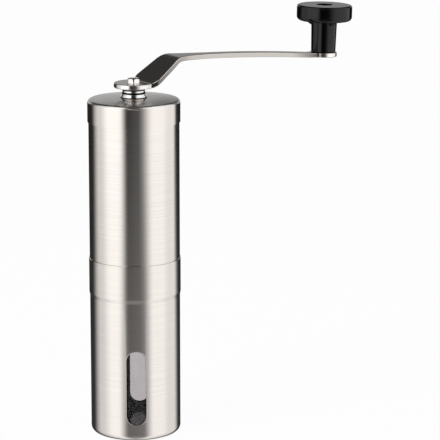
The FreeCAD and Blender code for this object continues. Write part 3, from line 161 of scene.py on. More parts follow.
def linear(hex_colour: str) -> tuple[float, float, float, float]:
    """Turns an sRGB colour into the linear one that sockets take.

    Args:
        hex_colour: Six hexadecimal digits, red first.

    Returns:
        Linear red, green, blue and an alpha of one.
    """
    channels = []
    for start in (0, 2, 4):
        value = int(hex_colour[start : start + 2], 16) / BYTE
        if value <= SRGB_KNEE:
            channels.append(value / SRGB_SLOPE)
        else:
            channels.append(((value + SRGB_OFFSET) / (1.0 + SRGB_OFFSET)) ** SRGB_POWER)
    return (channels[0], channels[1], channels[2], 1.0)


def add_node(
    tree: bpy.types.NodeTree,
    kind: str,
    values: Mapping[int | str, Any] | None = None,
    links: Mapping[int | str, bpy.types.NodeSocket] | None = None,
    **settings: Any,
) -> bpy.types.Node:
    """Adds a node with its settings, socket values and incoming links.

    Args:
        tree: The node tree that takes the node.
        kind: The node's Blender type.
        values: Default values by socket name or number.
        links: Outgoing sockets of other nodes by socket name or number.
        **settings: Properties of the node itself.

    Returns:
        The new node.
    """
    node = tree.nodes.new(kind)
    for key, setting in settings.items():
        setattr(node, key, setting)
    for key, value in (values or {}).items():
        node.inputs[key].default_value = value
    for key, socket in (links or {}).items():
        tree.links.new(socket, node.inputs[key])
    return node


def set_stops(ramp: bpy.types.ColorRamp, stops: list[tuple[float, float]]) -> None:
    """Gives a colour ramp grey stops.

    Args:
        ramp: The ramp of a Color Ramp node.
        stops: Pairs of a place from 0 to 1 and a grey value.
    """
    while len(ramp.elements) > 1:
        ramp.elements.remove(ramp.elements[-1])
    first_place, first_grey = stops[0]
    ramp.elements[0].position = first_place
    ramp.elements[0].color = (first_grey, first_grey, first_grey, 1.0)
    for place, grey in stops[1:]:
        ramp.elements.new(place).color = (grey, grey, grey, 1.0)


@dataclass(frozen=True)
class Finish:
    """What a surface is made of and how it was made.

    The grain is a noise of a real width, stretched along the tool's way. It moves the roughness
    between two values, mixes two close shades and raises a slight bump. A slower noise lets the
    shade drift a little, as handling and polishing do.
    """

    name: str
    shade: str
    second_shade: str
    roughness: tuple[float, float] = (0.3, 0.4)
    metallic: float = 0.0
    ior: float = 1.5
    grain_mm: float = 0.8
    stretch: float = 1.0
    marks: Marks = Marks.NONE
    marks_turn: float = 0.0
    bump_mm: float = 0.01
    drift_mm: float = 25.0
    drift: float = 0.25
    transmission: float = 0.0
    zones: tuple[Zone, ...] = ()

    def make(self) -> bpy.types.Material:
        """Builds the material.

        Returns:
            The finished material.
        """
        material = bpy.data.materials.new(self.name)
        material.use_nodes = True
        tree = material.node_tree
        tree.nodes.clear()
        place = add_node(tree, "ShaderNodeTexCoord")
        grain = self.grain(tree, place)
        colour, polish = self.base(tree, place, grain)
        for zone in self.zones:
            mask = self.zone_mask(tree, place, zone)
            shade = add_node(
                tree,
                "ShaderNodeMix",
                values={COLOUR_B: linear(zone.shade)},
                links={MIX_FACTOR: mask, COLOUR_A: colour},
                data_type="RGBA",
            )
            rough = add_node(
                tree,
                "ShaderNodeMix",
                values={VALUE_B: zone.roughness},
                links={MIX_FACTOR: mask, VALUE_A: polish},
            )
            colour = shade.outputs[COLOUR_OUT]
            polish = rough.outputs[VALUE_OUT]
        bump = add_node(
            tree,
            "ShaderNodeBump",
            values={"Strength": 1.0, "Distance": self.bump_mm * MM},
            links={"Height": grain},
        )
        shader = add_node(
            tree,
            "ShaderNodeBsdfPrincipled",
            values={"Metallic": self.metallic, "Transmission Weight": self.transmission},
            links={"Base Color": colour, "Roughness": polish, "Normal": bump.outputs["Normal"]},
        )
        if self.metallic < 1.0:
            shader.inputs["IOR"].default_value = self.ior
        add_node(tree, "ShaderNodeOutputMaterial", links={"Surface": shader.outputs["BSDF"]})
        return material

    def base(
        self, tree: bpy.types.NodeTree, place: bpy.types.Node, grain: bpy.types.NodeSocket
    ) -> tuple[bpy.types.NodeSocket, bpy.types.NodeSocket]:
        """Adds the shade and the roughness that the grain and a slow drift give the surface.

        Args:
            tree: The material's tree.
            place: The Texture Coordinate node.
            grain: The socket with the grain's height.

        Returns:
            The sockets with the colour and the roughness.
        """
        slow = add_node(
            tree,
            "ShaderNodeTexNoise",
            values={"Scale": 1.0 / (self.drift_mm * MM), "Detail": DRIFT_DETAIL},
            links={"Vector": place.outputs["Object"]},
        )
        drifted = add_node(
            tree,
            "ShaderNodeMix",
            values={MIX_FACTOR: self.drift},
            links={VALUE_A: grain, VALUE_B: slow.outputs["Fac"]},
        )
        share = drifted.outputs[VALUE_OUT]
        shade = add_node(
            tree,
            "ShaderNodeMix",
            values={COLOUR_A: linear(self.shade), COLOUR_B: linear(self.second_shade)},
            links={MIX_FACTOR: share},
            data_type="RGBA",
        )
        noise_low, noise_high = NOISE_RANGE
        low, high = self.roughness
        rough = add_node(
            tree,
            "ShaderNodeMapRange",
            values={
                "From Min": noise_low,
                "From Max": noise_high,
                "To Min": low,
                "To Max": high,
            },
            links={"Value": share},
        )
        return shade.outputs[COLOUR_OUT], rough.outputs["Result"]

    def grain(self, tree: bpy.types.NodeTree, place: bpy.types.Node) -> bpy.types.NodeSocket:
        """Adds the grain, a noise on object coordinates.

        Args:
            tree: The material's tree.
            place: The Texture Coordinate node.

        Returns:
            The socket with the grain's height.
        """
        dense = 1.0 / (self.grain_mm * MM)
        scale = [dense / self.stretch if long else dense for long in self.marks.value]
        where = place.outputs["Object"]
        if self.marks is Marks.RINGS:
            parts = add_node(tree, "ShaderNodeSeparateXYZ", links={"Vector": where})
            rings = add_node(
                tree,
                "ShaderNodeCombineXYZ",
                links={
                    "X": self.reach(tree, place),
                    "Y": parts.outputs["Z"],
                    "Z": parts.outputs["X"],
                },
            )
            where = rings.outputs["Vector"]
        mapping = add_node(
            tree,
            "ShaderNodeMapping",
            values={"Scale": scale, "Rotation": (0.0, 0.0, math.radians(-self.marks_turn))},
            links={"Vector": where},
            vector_type="POINT",
        )
        noise = add_node(
            tree,
            "ShaderNodeTexNoise",
            values={"Scale": 1.0, "Detail": GRAIN_DETAIL, "Roughness": GRAIN_ROUGHNESS},
            links={"Vector": mapping.outputs["Vector"]},
        )
        return noise.outputs["Fac"]

    def reach(self, tree: bpy.types.NodeTree, place: bpy.types.Node) -> bpy.types.NodeSocket:
        """Adds the distance from the shaft's axis.

        Args:
            tree: The material's tree.
            place: The Texture Coordinate node.

        Returns:
            The socket with the distance in metres.
        """
        flat = add_node(
            tree,
            "ShaderNodeVectorMath",
            values={1: (1.0, 1.0, 0.0)},
            links={0: place.outputs["Object"]},
            operation="MULTIPLY",
        )
        reach = add_node(
            tree, "ShaderNodeVectorMath", links={0: flat.outputs[0]}, operation="LENGTH"
        )
        return reach.outputs["Value"]

    def upright(self, tree: bpy.types.NodeTree, place: bpy.types.Node) -> bpy.types.NodeSocket:
        """Adds the test of an upright face.

        Args:
            tree: The material's tree.
            place: The Texture Coordinate node.

        Returns:
            A socket that is one on upright faces.
        """
        parts = add_node(
            tree, "ShaderNodeSeparateXYZ", links={"Vector": place.outputs["Normal"]}
        )
        tilt = add_node(
            tree, "ShaderNodeMath", links={0: parts.outputs["Z"]}, operation="ABSOLUTE"
        )
        test = add_node(
            tree,
            "ShaderNodeMath",
            values={1: UPRIGHT_LIMIT},
            links={0: tilt.outputs[0]},
            operation="LESS_THAN",
        )
        return test.outputs[0]

    def upright_fade(
        self, tree: bpy.types.NodeTree, place: bpy.types.Node, zone: Zone
    ) -> bpy.types.NodeSocket:
        """Adds the mask of upright faces that fades in with the distance from the axis.

        Args:
            tree: The material's tree.
            place: The Texture Coordinate node.
            zone: The zone, whose band may be below zero.

        Returns:
            A socket that rises from zero to one over the band.
        """
        near = add_node(
            tree,
            "ShaderNodeMapRange",
            values={
                "From Min": zone.limit_mm * MM,
                "From Max": (zone.limit_mm + zone.band_mm) * MM,
            },
            links={"Value": self.reach(tree, place)},
        )
        both = add_node(
            tree,
            "ShaderNodeMath",
            links={0: self.upright(tree, place), 1: near.outputs["Result"]},
            operation="MULTIPLY",
        )
        return both.outputs[0]

    def level(
        self, tree: bpy.types.NodeTree, place: bpy.types.Node, zone: Zone
    ) -> bpy.types.NodeSocket:
        """Adds the mask of level faces beyond a distance from the axis.

        Args:
            tree: The material's tree.
            place: The Texture Coordinate node.
            zone: The zone, whose limit is that distance.

        Returns:
            A socket that is one on such faces.
        """
        parts = add_node(
            tree, "ShaderNodeSeparateXYZ", links={"Vector": place.outputs["Normal"]}
        )
        flat = add_node(
            tree,
            "ShaderNodeMath",
            values={1: LEVEL_LIMIT},
            links={0: parts.outputs["Z"]},
            operation="GREATER_THAN",
        )
        beyond = add_node(
            tree,
            "ShaderNodeMath",
            values={1: zone.limit_mm * MM},
            links={0: self.reach(tree, place)},
            operation="GREATER_THAN",
        )
        both = add_node(
            tree,
            "ShaderNodeMath",
            links={0: flat.outputs[0], 1: beyond.outputs[0]},
            operation="MULTIPLY",
        )
        return both.outputs[0]

    def zone_mask(
        self, tree: bpy.types.NodeTree, place: bpy.types.Node, zone: Zone
    ) -> bpy.types.NodeSocket:
        """Adds the mask of the zone's part of the surface.

        Args:
            tree: The material's tree.
            place: The Texture Coordinate node.
            zone: The part and its limit.

        Returns:
            A socket that is one inside the part and zero elsewhere.
        """
        if zone.where is Where.UPRIGHT:
            return self.upright(tree, place)
        if zone.where is Where.UPRIGHT_FADE:
            return self.upright_fade(tree, place, zone)
        if zone.where is Where.LEVEL:
            return self.level(tree, place, zone)
        if zone.where is Where.INSIDE:
            measured = self.reach(tree, place)
        else:
            parts = add_node(
                tree, "ShaderNodeSeparateXYZ", links={"Vector": place.outputs["Object"]}
            )
            measured = parts.outputs["Z"]
        mask = add_node(
            tree,
            "ShaderNodeMath",
            values={1: zone.limit_mm * MM, 2: zone.band_mm * MM / 2.0},
            links={0: measured},
            operation=MASK_OPERATION[zone.where],
        )
        return mask.outputs[0]


# Austenitic stainless sheet, drawn and then brushed round on a belt: long fine rings of tool marks
# that blur reflections up and down but keep their upright bands. Inside, the sheet is as the press
# left it, dull, and painted dark: a painted shade for the dark within the shell. The real marks are
# about 0.1 mm apart, too fine to show, so they are drawn 0.8 mm apart. The marks of the other
# metals are as fine and are drawn 0.4 or 0.5 mm apart.
BRUSHED_SHEET = Finish(
    name="brushed_stainless_sheet",
    shade="F9F3EE",
    second_shade="E8E1DB",
    roughness=(0.09, 0.17),
    metallic=1.0,
    grain_mm=0.8,
    stretch=55.0,
    marks=Marks.AROUND,
    bump_mm=0.0045,
    zones=(Zone(where=Where.INSIDE, limit_mm=SHEET_MIDDLE, shade="201E1D", roughness=0.5),),
)
# The cup is the same sheet, painted darker still inside, a painted shade so that its windows look
# into the dark. The foot's round corner lies nearer to the axis than the inside's limit, so it gets
# an outside shade back.
BRUSHED_CUP = replace(
    BRUSHED_SHEET,
    name="brushed_stainless_cup",
    zones=(
        Zone(where=Where.INSIDE, limit_mm=SHEET_MIDDLE, shade="121111", roughness=0.5),
        Zone(where=Where.BAND, band_mm=2.0 * FOOT_CORNER, shade="F1EAE4", roughness=0.13),
    ),
)
# The lid's sheet is brushed on a lathe, so its marks are rings, also on its flat top. That makes
# the top softer in its reflections than the side, which is polished brighter.
BRUSHED_LID = replace(
    BRUSHED_SHEET,
    name="lathe_brushed_stainless_lid",
    shade="F4F1EE",
    second_shade="E8E5E2",
    roughness=(0.17, 0.24),
    grain_mm=0.5,
    marks=Marks.RINGS,
    bump_mm=0.002,
    zones=(Zone(where=Where.UPRIGHT, shade="F1EAE4", roughness=0.11),),
)
# Turned and polished stainless: mirror bright, with faint turning rings. The bush is painted
# dark in three bands, all painted shade: on its top edge, under the crank's eye; in its groove;
# and round its foot, a painted contact shadow.
POLISHED_TURNED = Finish(
    name="polished_turned_stainless",
    shade="F3F3F2",
    second_shade="EDEDEC",
    roughness=(0.03, 0.07),
    metallic=1.0,
    grain_mm=0.4,
    stretch=40.0,
    marks=Marks.RINGS,
    bump_mm=0.0006,
    zones=(
        Zone(where=Where.BAND, limit_mm=BUSH_TOP, band_mm=0.5, shade="3A3633", roughness=0.4),
        Zone(where=Where.BAND, limit_mm=BUSH_GROOVE, band_mm=0.9, shade="1E1C1B", roughness=0.4),
        Zone(where=Where.BAND, limit_mm=BUSH_FOOT, band_mm=0.6, shade="2A2725", roughness=0.4),
    ),
)
# Flat bar, bent and then polished along its length: near mirror with soft long marks, and satin on
# the sides where it was sheared. The sides are rougher and also painted darker, a painted shade,
# and darker still towards the eye and towards the knob, painted shade that stands in for the
# reflections and shadow there; the edges of the eye and of the pad under the knob are painted
# bright, a painted highlight. The level tops are a little rougher and painted darker than the
# slope, and darkest along
# the bowed run: a painted shade for the darker room that they mirror.
POLISHED_BAR = Finish(
    name="polished_stainless_bar",
    shade="EFEAE5",
    second_shade="D2CAC4",
    roughness=(0.08, 0.15),
    metallic=1.0,
    grain_mm=0.5,
    stretch=30.0,
    marks=Marks.LENGTHWISE,
    marks_turn=30.0,
    bump_mm=0.001,
    zones=(
        Zone(where=Where.UPRIGHT, shade="C9C3BD", roughness=0.2),
        Zone(
            where=Where.UPRIGHT_FADE,
            limit_mm=SLOPE_SIDE,
            band_mm=-16.0,
            shade="7C7875",
            roughness=0.24,
        ),
        Zone(
            where=Where.UPRIGHT_FADE,
            limit_mm=RUN_END,
            band_mm=13.0,
            shade="7C7875",
            roughness=0.2,
        ),
        Zone(
            where=Where.UPRIGHT_FADE,
            limit_mm=PAD_EDGE,
            band_mm=0.5,
            shade="FAF6F2",
            roughness=0.1,
        ),
        Zone(
            where=Where.UPRIGHT_FADE,
            limit_mm=EYE_EDGE,
            band_mm=-0.3,
            shade="F4F0EC",
            roughness=0.08,
        ),
        Zone(where=Where.LEVEL, shade="C4BEB9", roughness=0.16),
        Zone(where=Where.LEVEL, limit_mm=RUN_START, shade="817B77", roughness=0.16),
    ),
)
# Cold drawn steel rod, ground to a satin with rings, and bright on the post that the crank fits on.
GROUND_ROD = Finish(
    name="ground_steel_rod",
    shade="D9D6D1",
    second_shade="C9C5BF",
    roughness=(0.18, 0.30),
    metallic=1.0,
    grain_mm=0.5,
    stretch=30.0,
    marks=Marks.RINGS,
    bump_mm=0.0008,
    zones=(Zone(where=Where.ABOVE, limit_mm=POST_FOOT, shade="F4F1EE", roughness=0.06),),
)
# Stamped and tumbled spring steel: dull bright, with a tumbled speckle.
TUMBLED_STEEL = Finish(
    name="tumbled_spring_steel",
    shade="D0CECA",
    second_shade="B9B6B1",
    roughness=(0.25, 0.40),
    metallic=1.0,
    grain_mm=0.7,
    bump_mm=0.004,
)
# Free-cutting brass, turned and left bare: yellow with darker tarnished rings.
TURNED_BRASS = Finish(
    name="turned_brass",
    shade="E3C27C",
    second_shade="C9A25A",
    roughness=(0.18, 0.32),
    metallic=1.0,
    grain_mm=0.5,
    stretch=30.0,
    marks=Marks.RINGS,
    bump_mm=0.002,
)
# Acetal, injection moulded: deep black with a soft sheen and a fine spark-eroded grain.
MOULDED_ACETAL = Finish(
    name="moulded_black_acetal",
    shade="161618",
    second_shade="1E1E20",
    roughness=(0.34, 0.48),
    ior=1.48,
    grain_mm=0.6,
    bump_mm=0.01,
)
# The adjusting wheel's own acetal is dark grey, so that the wheel stands out from the black parts.
GREY_ACETAL = Finish(
    name="moulded_grey_acetal",
    shade="3A3B3E",
    second_shade="434448",
    roughness=(0.32, 0.45),
    ior=1.48,
    grain_mm=0.6,
    bump_mm=0.01,
)
# Phenolic, moulded and buffed: piano black that mirrors the studio, barely rippled. Its IOR is
# under phenolic's 1.6, matched to how faintly the real knob mirrors the room.
BUFFED_PHENOLIC = Finish(
    name="buffed_black_phenolic",
    shade="020202",
    second_shade="050505",
    roughness=(0.03, 0.07),
    ior=1.43,
    grain_mm=6.0,
    bump_mm=0.01,
)
# Styrene-acrylonitrile, moulded clear with a faint smoke tint: the windows stay see-through. Its
# IOR is under the real 1.57, matched to how faintly the real windows mirror the room.
CLEAR_STYRENE = Finish(
    name="clear_smoke_styrene",
    shade="DCD9DA",
    second_shade="D7D4D5",
    roughness=(0.02, 0.04),
    ior=1.45,
    grain_mm=8.0,
    bump_mm=0.01,
    transmission=1.0,
)
# Alumina, pressed and fired: warm white and dry, with a faint pressed speckle.
FIRED_ALUMINA = Finish(
    name="fired_alumina_ceramic",
    shade="EAE5DA",
    second_shade="DAD3C5",
    roughness=(0.38, 0.52),
    ior=1.65,
    grain_mm=0.7,
    bump_mm=0.008,
)
# Silicone rubber, moulded: milky, dull and soft.
MOULDED_SILICONE = Finish(
    name="moulded_silicone_rubber",
    shade="DAD9D3",
    second_shade="CFCEC8",
    roughness=(0.45, 0.6),
    ior=1.42,
    grain_mm=0.7,
    bump_mm=0.015,
)


class Palette:
    """Makes each finish once."""

    def __init__(self) -> None:
        """Starts with no material made."""
        self.made: dict[str, bpy.types.Material] = {}

    def material(self, finish: Finish) -> bpy.types.Material:
        """Gives the material of a finish.

        Args:
            finish: The finish.

        Returns:
            Its material, made on the first call.
        """
        if finish.name not in self.made:
            self.made[finish.name] = finish.make()
        return self.made[finish.name]


@dataclass
class SubAssembly:
    """Solids that belong together, each in its finish, and the pieces added to them."""

    nodes: Mapping[str, bpy.types.Object]
    palette: Palette
    finishes: dict[str, Finish] = field(default_factory=dict)

    def dress(self) -> None:
        """Gives each carried-over solid its finish."""
        for name, finish in self.finishes.items():
            for slot in self.nodes[name].material_slots:
                slot.material = self.palette.material(finish)
            LOG.info("%s: %s", name, finish.name)

    def build(self) -> None:
        """Adds the sub-assembly's own pieces; most have none."""

    def add_piece(
        self, shape: bmesh.types.BMesh, name: str, body: str, slot: str, finish: Finish
    ) -> bpy.types.Object:
        """Turns a finished bmesh into a piece that rides on a body.

        Args:
            shape: The bmesh in metres, in place; it is freed.
            name: The piece's name.
            body: The body that it rides on.
            slot: The record's material slot; not used.
            finish: The finish.

        Returns:
            The new object.
        """
        mesh = bpy.data.meshes.new(name)
        shape.to_mesh(mesh)
        shape.free()
        mesh.shade_smooth()
        mesh.set_sharp_from_angle(angle=SHARP_ANGLE)
        piece = bpy.data.objects.new(name, mesh)
        piece.data.materials.append(self.palette.material(finish))
        bpy.context.scene.collection.objects.link(piece)
        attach(piece, body)
        LOG.info("%s: new piece, %d faces, %s", name, len(mesh.polygons), finish.name)
        return piece


@dataclass
class CatchCup(SubAssembly):
    """Catch cup: steel shell with two sight windows, and its clear liner. Sizes in millimetres."""

    finishes: dict[str, Finish] = field(
        default_factory=lambda: {"cup_shell": BRUSHED_CUP, "cup_liner": CLEAR_STYRENE}
    )
    shell_radius: float = 22.8
    window_half_width: float = 5.0
    window_foot: float = 8.5
    window_top: float = 47.3
    rear_turn: float = 174.4
    lip_width: float = 0.28
    lip_overhang: float = 0.02
    lip_depth: float = 0.5
    lip_edge: float = 0.1
    lip_edge_segments: int = 2
    end_segments: int = 48
    side_cuts: int = 24

    def build(self) -> None:
        """Adds the deburred lip round each window."""
        self.build_lip("window_lip_front", 0.0)
        self.build_lip("window_lip_rear", self.rear_turn)

    def build_lip(self, name: str, turn: float) -> None:
        """Builds one lip: a slot-shaped ring, bent onto the shell.

        Args:
            name: The piece's name.
            turn: Angle round the cup from the front, in degrees.
        """
        shape = bmesh.new()
        straight = self.window_top - self.window_foot - 2.0 * self.window_half_width
        for step in (-self.lip_overhang, self.lip_width):
            ring = bmesh.ops.create_circle(
                shape, segments=self.end_segments, radius=self.window_half_width + step
            )
            upper = [corner for corner in ring["verts"] if corner.co.y > MERGE_DISTANCE]
            bmesh.ops.translate(shape, verts=upper, vec=(0.0, straight, 0.0))
        bmesh.ops.bridge_loops(shape, edges=shape.edges[:])
        long_sides = [edge for edge in shape.edges if edge.calc_length() > self.window_half_width]
        bmesh.ops.subdivide_edges(shape, edges=long_sides, cuts=self.side_cuts)
        walls = bmesh.ops.extrude_face_region(shape, geom=shape.faces[:])
        raised = [item for item in walls["geom"] if isinstance(item, bmesh.types.BMVert)]
        bmesh.ops.translate(shape, verts=raised, vec=(0.0, 0.0, self.lip_depth))
        bmesh.ops.recalc_face_normals(shape, faces=shape.faces[:])
        rims = [edge for edge in shape.edges if edge.calc_face_angle(0.0) > SHARP_ANGLE]
        bmesh.ops.bevel(
            shape,
            geom=rims,
            offset=self.lip_edge,
            offset_type="OFFSET",
            segments=self.lip_edge_segments,
            profile=0.5,
            affect="EDGES",
            material=-1,
        )
        foot = self.window_foot + self.window_half_width
        inner = self.shell_radius - self.lip_depth / 2.0
        for corner in shape.verts:
            angle = corner.co.x / self.shell_radius + math.radians(turn)
            radius = inner + corner.co.z
            corner.co = (
                radius * math.sin(angle) * MM,
                -radius * math.cos(angle) * MM,
                (foot + corner.co.y) * MM,
            )
        bmesh.ops.recalc_face_normals(shape, faces=shape.faces[:])
        # The lip is polished like the lid's side.
        self.add_piece(shape, name, "cup", "shell_steel", BRUSHED_LID)


@dataclass
class Hopper(SubAssembly):
    """Hopper tube with the burr carrier inside it."""

    finishes: dict[str, Finish] = field(
        default_factory=lambda: {
            "hopper_tube": BRUSHED_SHEET,
            "burr_carrier": MOULDED_ACETAL,
            "outer_burr": FIRED_ALUMINA,
            "burr_lock_ring": MOULDED_ACETAL,
            "lock_ring_screws": TUMBLED_STEEL,
            "upper_shaft_bush": TURNED_BRASS,
            "lower_shaft_bush": TURNED_BRASS,
        }
    )


@dataclass
class Shaft(SubAssembly):
    """Drive shaft with its washers, clip and spring, and the cone that it turns. In millimetres."""

    finishes: dict[str, Finish] = field(
        default_factory=lambda: {
            "drive_shaft": GROUND_ROD,
            "thrust_washer": TUMBLED_STEEL,
            "retaining_clip": TUMBLED_STEEL,
            "spring_washer": TUMBLED_STEEL,
            "burr_spring": TUMBLED_STEEL,
            "inner_burr": FIRED_ALUMINA,
            "burr_hub": MOULDED_ACETAL,
        }
    )
    post_foot: float = 179.3
    post_foot_slack: float = 1.0
    post_edge: float = 0.7
    post_edge_segments: int = 3

    def build(self) -> None:
        """Replaces the shaft by a copy whose post has its upright edges rubbed round."""
        source = self.nodes["drive_shaft"]
        shape = bmesh.new()
        shape.from_mesh(source.data)
        bmesh.ops.remove_doubles(shape, verts=shape.verts[:], dist=MERGE_DISTANCE)
        foot = self.post_foot * MM
        lowest = foot - self.post_foot_slack * MM
        edges = []
        for edge in shape.edges:
            low, high = sorted(corner.co.z for corner in edge.verts)
            upright = high - low > UPRIGHT_EDGE * edge.calc_length()
            sharp = edge.calc_face_angle(0.0) > SHARP_ANGLE
            if low >= lowest and high > foot and upright and sharp:
                edges.append(edge)
        bmesh.ops.bevel(
            shape,
            geom=edges,
            offset=self.post_edge * MM,
            offset_type="OFFSET",
            segments=self.post_edge_segments,
            profile=0.5,
            affect="EDGES",
            material=-1,
        )
        LOG.info("post: %d upright edges rubbed round", len(edges))
        piece = self.add_piece(shape, "drive_shaft_rubbed", "shaft", "shaft_steel", GROUND_ROD)
        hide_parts("drive_shaft")


@dataclass
class Adjuster(SubAssembly):
    """Grind adjuster: the lobed dial and its brass nut."""

    finishes: dict[str, Finish] = field(
        default_factory=lambda: {"adjuster_dial": GREY_ACETAL, "adjuster_nut": TURNED_BRASS}
    )


@dataclass
class Lid(SubAssembly):
    """Lid with its polished bush, nut and seal."""

    finishes: dict[str, Finish] = field(
        default_factory=lambda: {
            "lid_shell": BRUSHED_LID,
            "lid_bush": POLISHED_TURNED,
            "lid_bush_nut": TUMBLED_STEEL,
            "lid_gasket": MOULDED_SILICONE,
        }
    )


@dataclass
class Crank(SubAssembly):
    """Bowed crank arm with its riveted pin, and the knob that turns on it."""

    finishes: dict[str, Finish] = field(
        default_factory=lambda: {
            "crank_arm": POLISHED_BAR,
            "knob_pin": POLISHED_TURNED,
            "knob": BUFFED_PHENOLIC,
            "knob_cap": BUFFED_PHENOLIC,
        }
    )


@dataclass(frozen=True)
class SoftBox:
    """A soft box beside the camera, by angles from the camera in degrees.

    It fades in from its near edge, is brightest as far as its lamp reaches, duller over its far
    part, and fades out to its far edge.
    """

    near_edge: float
    near_full: float
    lamp_reach: float
    lamp_grey: float
    dull_start: float
    dull_end: float
    dull_grey: float
    far_edge: float

    def stops(self, side: float, gap: float, behind: float) -> list[tuple[float, float]]:
        """Gives the brightness of the box and of the dark on both sides of it.

        Args:
            side: One where the box is on the camera's right and minus one on its left.
            gap: Grey before the near edge.
            behind: Grey past the far edge.

        Returns:
            Pairs of an angle to the camera's right and a grey, the near edge first.
        """
        return [
            (side * self.near_edge, gap),
            (side * self.near_full, self.lamp_grey),
            (side * self.lamp_reach, self.lamp_grey),
            (side * self.dull_start, self.dull_grey),
            (side * self.dull_end, self.dull_grey),
            (side * self.far_edge, behind),
        ]


@dataclass(frozen=True)
class Ring:
    """The two soft boxes as seen from one height, with dark gaps between them."""

    left: SoftBox
    right: SoftBox
    left_gap: float
    right_gap: float
    behind: float

    def stops(self) -> list[tuple[float, float]]:
        """Gives the brightness all round.

        Returns:
            Pairs of an angle to the camera's right, from the left, and a grey.
        """
        left = self.left.stops(-1.0, self.left_gap, self.behind)
        return left[::-1] + self.right.stops(1.0, self.right_gap, self.behind)


# The room as seen level with the lid: a dark gap at the camera, a soft box on each side of it, and
# dark flags behind them.
HIGH_RING = Ring(
    left=SoftBox(
        near_edge=14.5,
        near_full=35.0,
        lamp_reach=64.0,
        lamp_grey=1.0,
        dull_start=93.0,
        dull_end=96.0,
        dull_grey=0.62,
        far_edge=127.0,
    ),
    right=SoftBox(
        near_edge=10.0,
        near_full=52.0,
        lamp_reach=75.0,
        lamp_grey=0.9,
        dull_start=100.0,
        dull_end=117.0,
        dull_grey=0.76,
        far_edge=133.0,
    ),
    left_gap=0.02,
    right_gap=0.05,
    behind=0.015,
)
# The same as seen near the table, where the boxes are weaker and the gap is paler.
LOW_RING = Ring(
    left=SoftBox(
        near_edge=17.0,
        near_full=45.0,
        lamp_reach=58.0,
        lamp_grey=0.88,
        dull_start=93.0,
        dull_end=96.0,
        dull_grey=0.59,
        far_edge=134.0,
    ),
    right=SoftBox(
        near_edge=22.0,
        near_full=50.0,
        lamp_reach=75.0,
        lamp_grey=0.84,
        dull_start=97.0,
        dull_end=117.0,
        dull_grey=0.67,
        far_edge=144.0,
    ),
    left_gap=0.13,
    right_gap=0.15,
    behind=0.03,
)
# Sine of the height at which each of the two rings holds.
RING_HEIGHTS = (-0.165, -0.285)
# Sine of the height at which the soft boxes end, by the same angle.
BOX_TOP_STOPS: list[tuple[float, float]] = [
    (-160.0, -0.12),
    (-135.0, 0.03),
    (-122.0, 0.88),
    (-25.0, 0.88),
    (-15.0, 0.03),
    (15.0, 0.03),
    (25.0, 0.88),
    (122.0, 0.88),
    (135.0, 0.03),
    (160.0, -0.12),
]
# Added to them, because a ramp holds no shade under zero.
BOX_TOP_BASE = 0.2
# Height over which the boxes' tops fade out.
BOX_EDGE = 0.06
# Brightness over the boxes and over the flags by the sine of the height: the backdrop, lit more on
# the left, and a dark ceiling.
WALL_LEFT_STOPS: list[tuple[float, float]] = [
    (0.0, 0.60),
    (0.05, 0.38),
    (0.17, 0.36),
    (0.28, 0.32),
    (0.34, 0.26),
    (0.42, 0.04),
    (0.7, 0.02),
    (1.0, 0.06),
]
WALL_RIGHT_STOPS: list[tuple[float, float]] = [
    (0.0, 0.50),
    (0.06, 0.38),
    (0.14, 0.30),
    (0.2, 0.22),
    (0.27, 0.13),
    (0.34, 0.08),
    (0.42, 0.035),
    (0.7, 0.025),
    (1.0, 0.06),
]
# Half the width over which the two sides meet.
WALL_BLEND = 0.012
# Share of the pale table, which lies straight below, by the sine of the height.
TABLE_STOPS: list[tuple[float, float]] = [
    (-1.0, 0.55),
    (-0.85, 0.3),
    (-0.75, 0.2),
    (-0.6, 0.12),
    (-0.4, 0.0),
]
TABLE_GREY = 0.55


@dataclass(frozen=True)
class Bearing:
    """Sockets that tell where a ray of the world points.

    The side and the height are the ray's parts to the camera's right and up. The turn goes from 0
    to 1 once round from behind the object, and the rise from 0 to 1 from straight down to straight
    up.
    """

    side: bpy.types.NodeSocket
    height: bpy.types.NodeSocket
    turn: bpy.types.NodeSocket
    rise: bpy.types.NodeSocket


